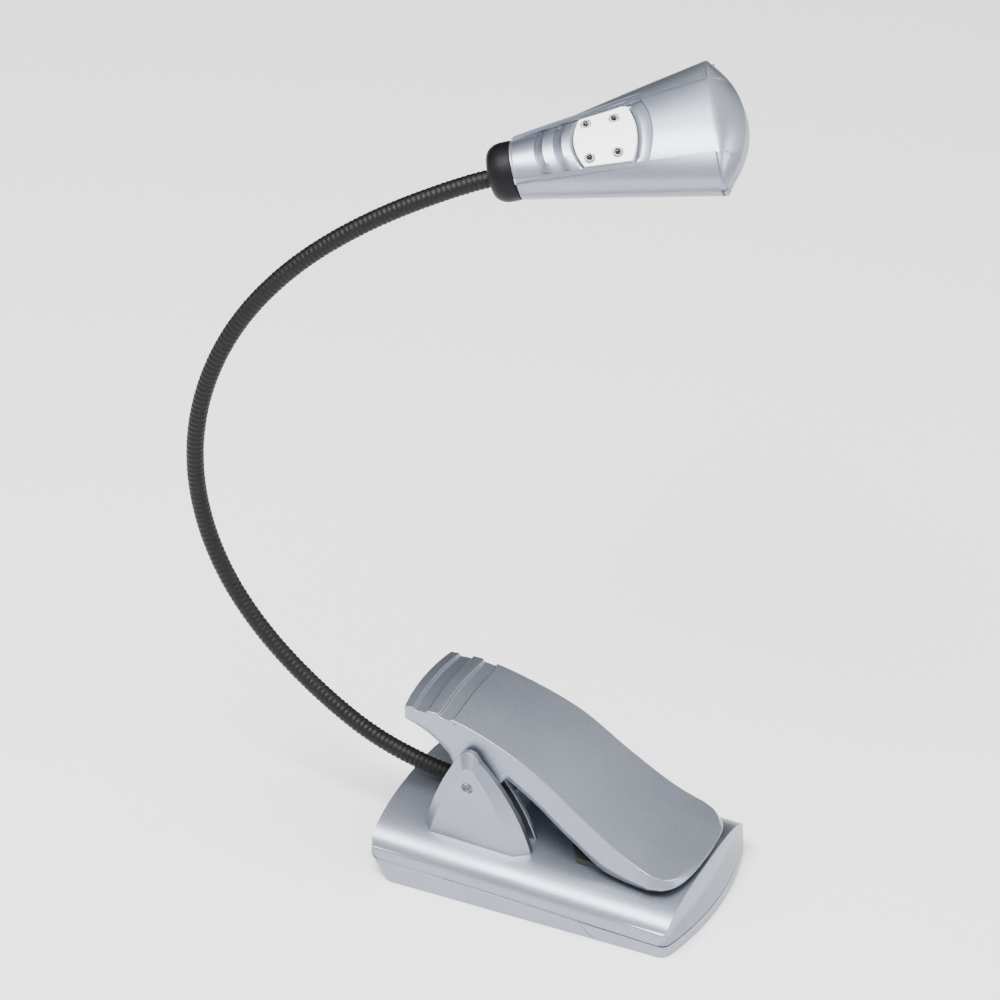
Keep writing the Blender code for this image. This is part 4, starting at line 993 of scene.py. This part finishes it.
def panelPoint(row, v):
    u, level = row
    first, last = head["window"]
    low = first + rowBend(first) * v * v + panel["gap"]
    high = last + rowBend(last) * v * v - panel["gap"]
    x = low + (high - low) * u
    y = v * panel["reach"] * channelHalf(x)
    return headPlace @ Vector((x, y, panelLevel(v) if level else panel["foot"]))


def makePanel():
    rows = [(0, False)] + [(u, True) for u in steps(0, 1, 16)] + [(1, False)]
    bm = sheetOf(rows, steps(-1, 1, 20), panelPoint)
    edges = [e for e in bm.edges if e.is_boundary]
    made = bmesh.ops.extrude_edge_only(bm, edges=edges)["geom"]
    inverse = headPlace.inverted()
    for vert in [g for g in made if isinstance(g, bmesh.types.BMVert)]:
        local = inverse @ vert.co
        local.z = min(local.z, panel["foot"])
        vert.co = headPlace @ local
    bmesh.ops.remove_doubles(bm, verts=bm.verts, dist=1e-6)
    faceAwayFrom(bm, headPlace @ Vector((26 * mm, 0, 0)))
    piece = meshObject("ledPanel", bm, whitePanel, 30)
    addBevel(piece, panel["edge"], 3, 40)
    settle(piece, "head", "white_plastic", "led_panel")


def makeLeds():
    radius, foot, chip = led["radius"], led["foot"], led["chip"]
    inner, outer = radius + led["shadeRingGap"], radius + led["shadeRingWidth"]
    for number, (x, y) in enumerate(led["places"], 1):
        x, y = x * mm, y * mm
        base = panelLevel(y / (panel["reach"] * channelHalf(x)))
        place = headPlace @ Matrix.Translation((x, y, 0))
        dome = [(0, foot), (radius, foot), (radius, base)]
        dome += [(radius * cos(turn), base + radius * sin(turn)) for turn in steps(0, pi / 2, 8)]
        piece = meshObject(f"ledDome{number}", turned(dome, (0, 0, 1), 32, place), clearEpoxy, 60)
        settle(piece, "head", "clear_lens", f"led_{number}")
        # a black ring round the dome gives the shaded gap between dome and panel: painted shade
        shadeRing = [(inner, base - 0.5 * mm), (inner, base + 0.1 * mm), (outer, base + 0.12 * mm)]
        shadeRing += [(outer + 0.04 * mm, base - 0.5 * mm), (inner, base - 0.5 * mm)]
        piece = meshObject(f"ledShadeRing{number}", turned(shadeRing, (0, 0, 1), 32, place), blackAbs, 40)
        settle(piece, "head", "black_plastic")
        low, high = base - 0.4 * mm, base + 0.6 * mm
        core = [(0, base + 0.7 * mm), (chip, high), (chip, low), (0, low)]
        piece = meshObject(f"ledChip{number}", turned(core, (0, 0, 1), 12, place), blackAbs, 40)
        settle(piece, "head", "black_plastic")


makePanel()
makeLeds()
switchButton = fromNode("switchButton", "switch_button", blackAbs, head["buttonEdge"])
settle(switchButton, "button", "black_plastic", "switch_button")
print("lamp head made")


# Hinge pin, spring and hardware

hardware = {"pinEdge": 0.45 * mm, "springHalf": 9.4 * mm}

hingePin = fromNode("hingePin", "hinge_pin", nickelSteel, hardware["pinEdge"])
settle(hingePin, "base", "steel", "hinge_pin")


def makeTorsionSpring():
    piece = fromNode("clipSpring", "torsion_spring", springWire, 0.0, 60)
    smooth = piece.modifiers.new("round", "SUBSURF")
    smooth.levels = 1
    smooth.render_levels = 1
    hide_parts("torsion_spring")
    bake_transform(piece)


makeTorsionSpring()

plainFinishes = {
    "battery_tray": blackAbs,
    "switch_body": blackAbs,
    "led_board": greenLaminate,
    "base_lead": leadPvc,
    "head_lead": leadPvc,
}
for number in range(1, 4):
    plainFinishes[f"cell_{number}"] = cellSleeve
    plainFinishes[f"contact_spring_{number}"] = springWire
    plainFinishes[f"contact_plate_{number}"] = nickelSteel
for number in range(1, 3):
    plainFinishes[f"base_screw_{number}"] = nickelSteel
    plainFinishes[f"head_screw_{number}"] = nickelSteel
for node, material in plainFinishes.items():
    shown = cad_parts[node]
    shown.data.materials.clear()
    shown.data.materials.append(material)
print("hardware finished")


# Studio: floor, soft lights and camera

studio = {
    "cameraPlace": (0.4143, -0.93035, 0.75489),
    "azimuth": 24.952,
    "elevation": 31.8,
    "lens": 156.55,
    "floor": 6.0,
    "world": "FFFFFF",
    "worldTowards": (0.7, -0.5, 0.6),
    "worldFrom": (-0.35, 0.5),
    "worldRange": (0.0, 1.6),
    # name, place, width, height, power
    "lights": (
        ("topSoftbox", (-0.1, -0.45, 1.1), 0.8, 0.45, 30.0),
        ("leftSoftbox", (-0.9, -0.5, 0.6), 0.5, 0.5, 3.0),
        ("rightSoftbox", (0.9, 0.1, 0.8), 0.5, 0.5, 6.0),
    ),
    "lightAim": (0.0, 0.0, 0.1),
}


def makeFloor():
    bm = bmesh.new()
    bmesh.ops.create_grid(bm, x_segments=1, y_segments=1, size=studio["floor"] / 2)
    floor = meshObject("floor", bm, studioCard)


def makeWorld():
    # a soft sky, dark on one side and bright on the other
    world = bpy.data.worlds.new("softWorld")
    bpy.context.scene.world = world
    world.use_nodes = True
    background = world.node_tree.nodes["Background"]
    background.inputs["Color"].default_value = colour(studio["world"])
    place = addNode(world, "ShaderNodeTexCoord").outputs["Generated"]
    settings = {"operation": "DOT_PRODUCT", 1: studio["worldTowards"]}
    along = addNode(world, "ShaderNodeVectorMath", settings, {0: place})
    (start, finish), (low, high) = studio["worldFrom"], studio["worldRange"]
    settings = {"From Min": start, "From Max": finish, "To Min": low, "To Max": high}
    level = addNode(world, "ShaderNodeMapRange", settings, {"Value": along.outputs["Value"]})
    world.node_tree.links.new(level.outputs["Result"], background.inputs["Strength"])


def makeLights():
    for name, place, width, height, power in studio["lights"]:
        data = bpy.data.lights.new(name, "AREA")
        data.shape = "RECTANGLE"
        data.size = width
        data.size_y = height
        data.energy = power
        lamp = bpy.data.objects.new(name, data)
        bpy.context.scene.collection.objects.link(lamp)
        lamp.location = place
        aim = Vector(studio["lightAim"]) - Vector(place)
        lamp.rotation_euler = aim.to_track_quat("-Z", "Y").to_euler()


def makeCamera():
    data = bpy.data.cameras.new("camera")
    data.lens = studio["lens"]
    data.clip_end = 20
    camera = bpy.data.objects.new("camera", data)
    bpy.context.scene.collection.objects.link(camera)
    camera.location = studio["cameraPlace"]
    camera.rotation_euler = (pi / 2 - radians(studio["elevation"]), 0, radians(studio["azimuth"]))
    bpy.context.scene.camera = camera


makeFloor()
makeWorld()
makeLights()
makeCamera()
print("studio made")
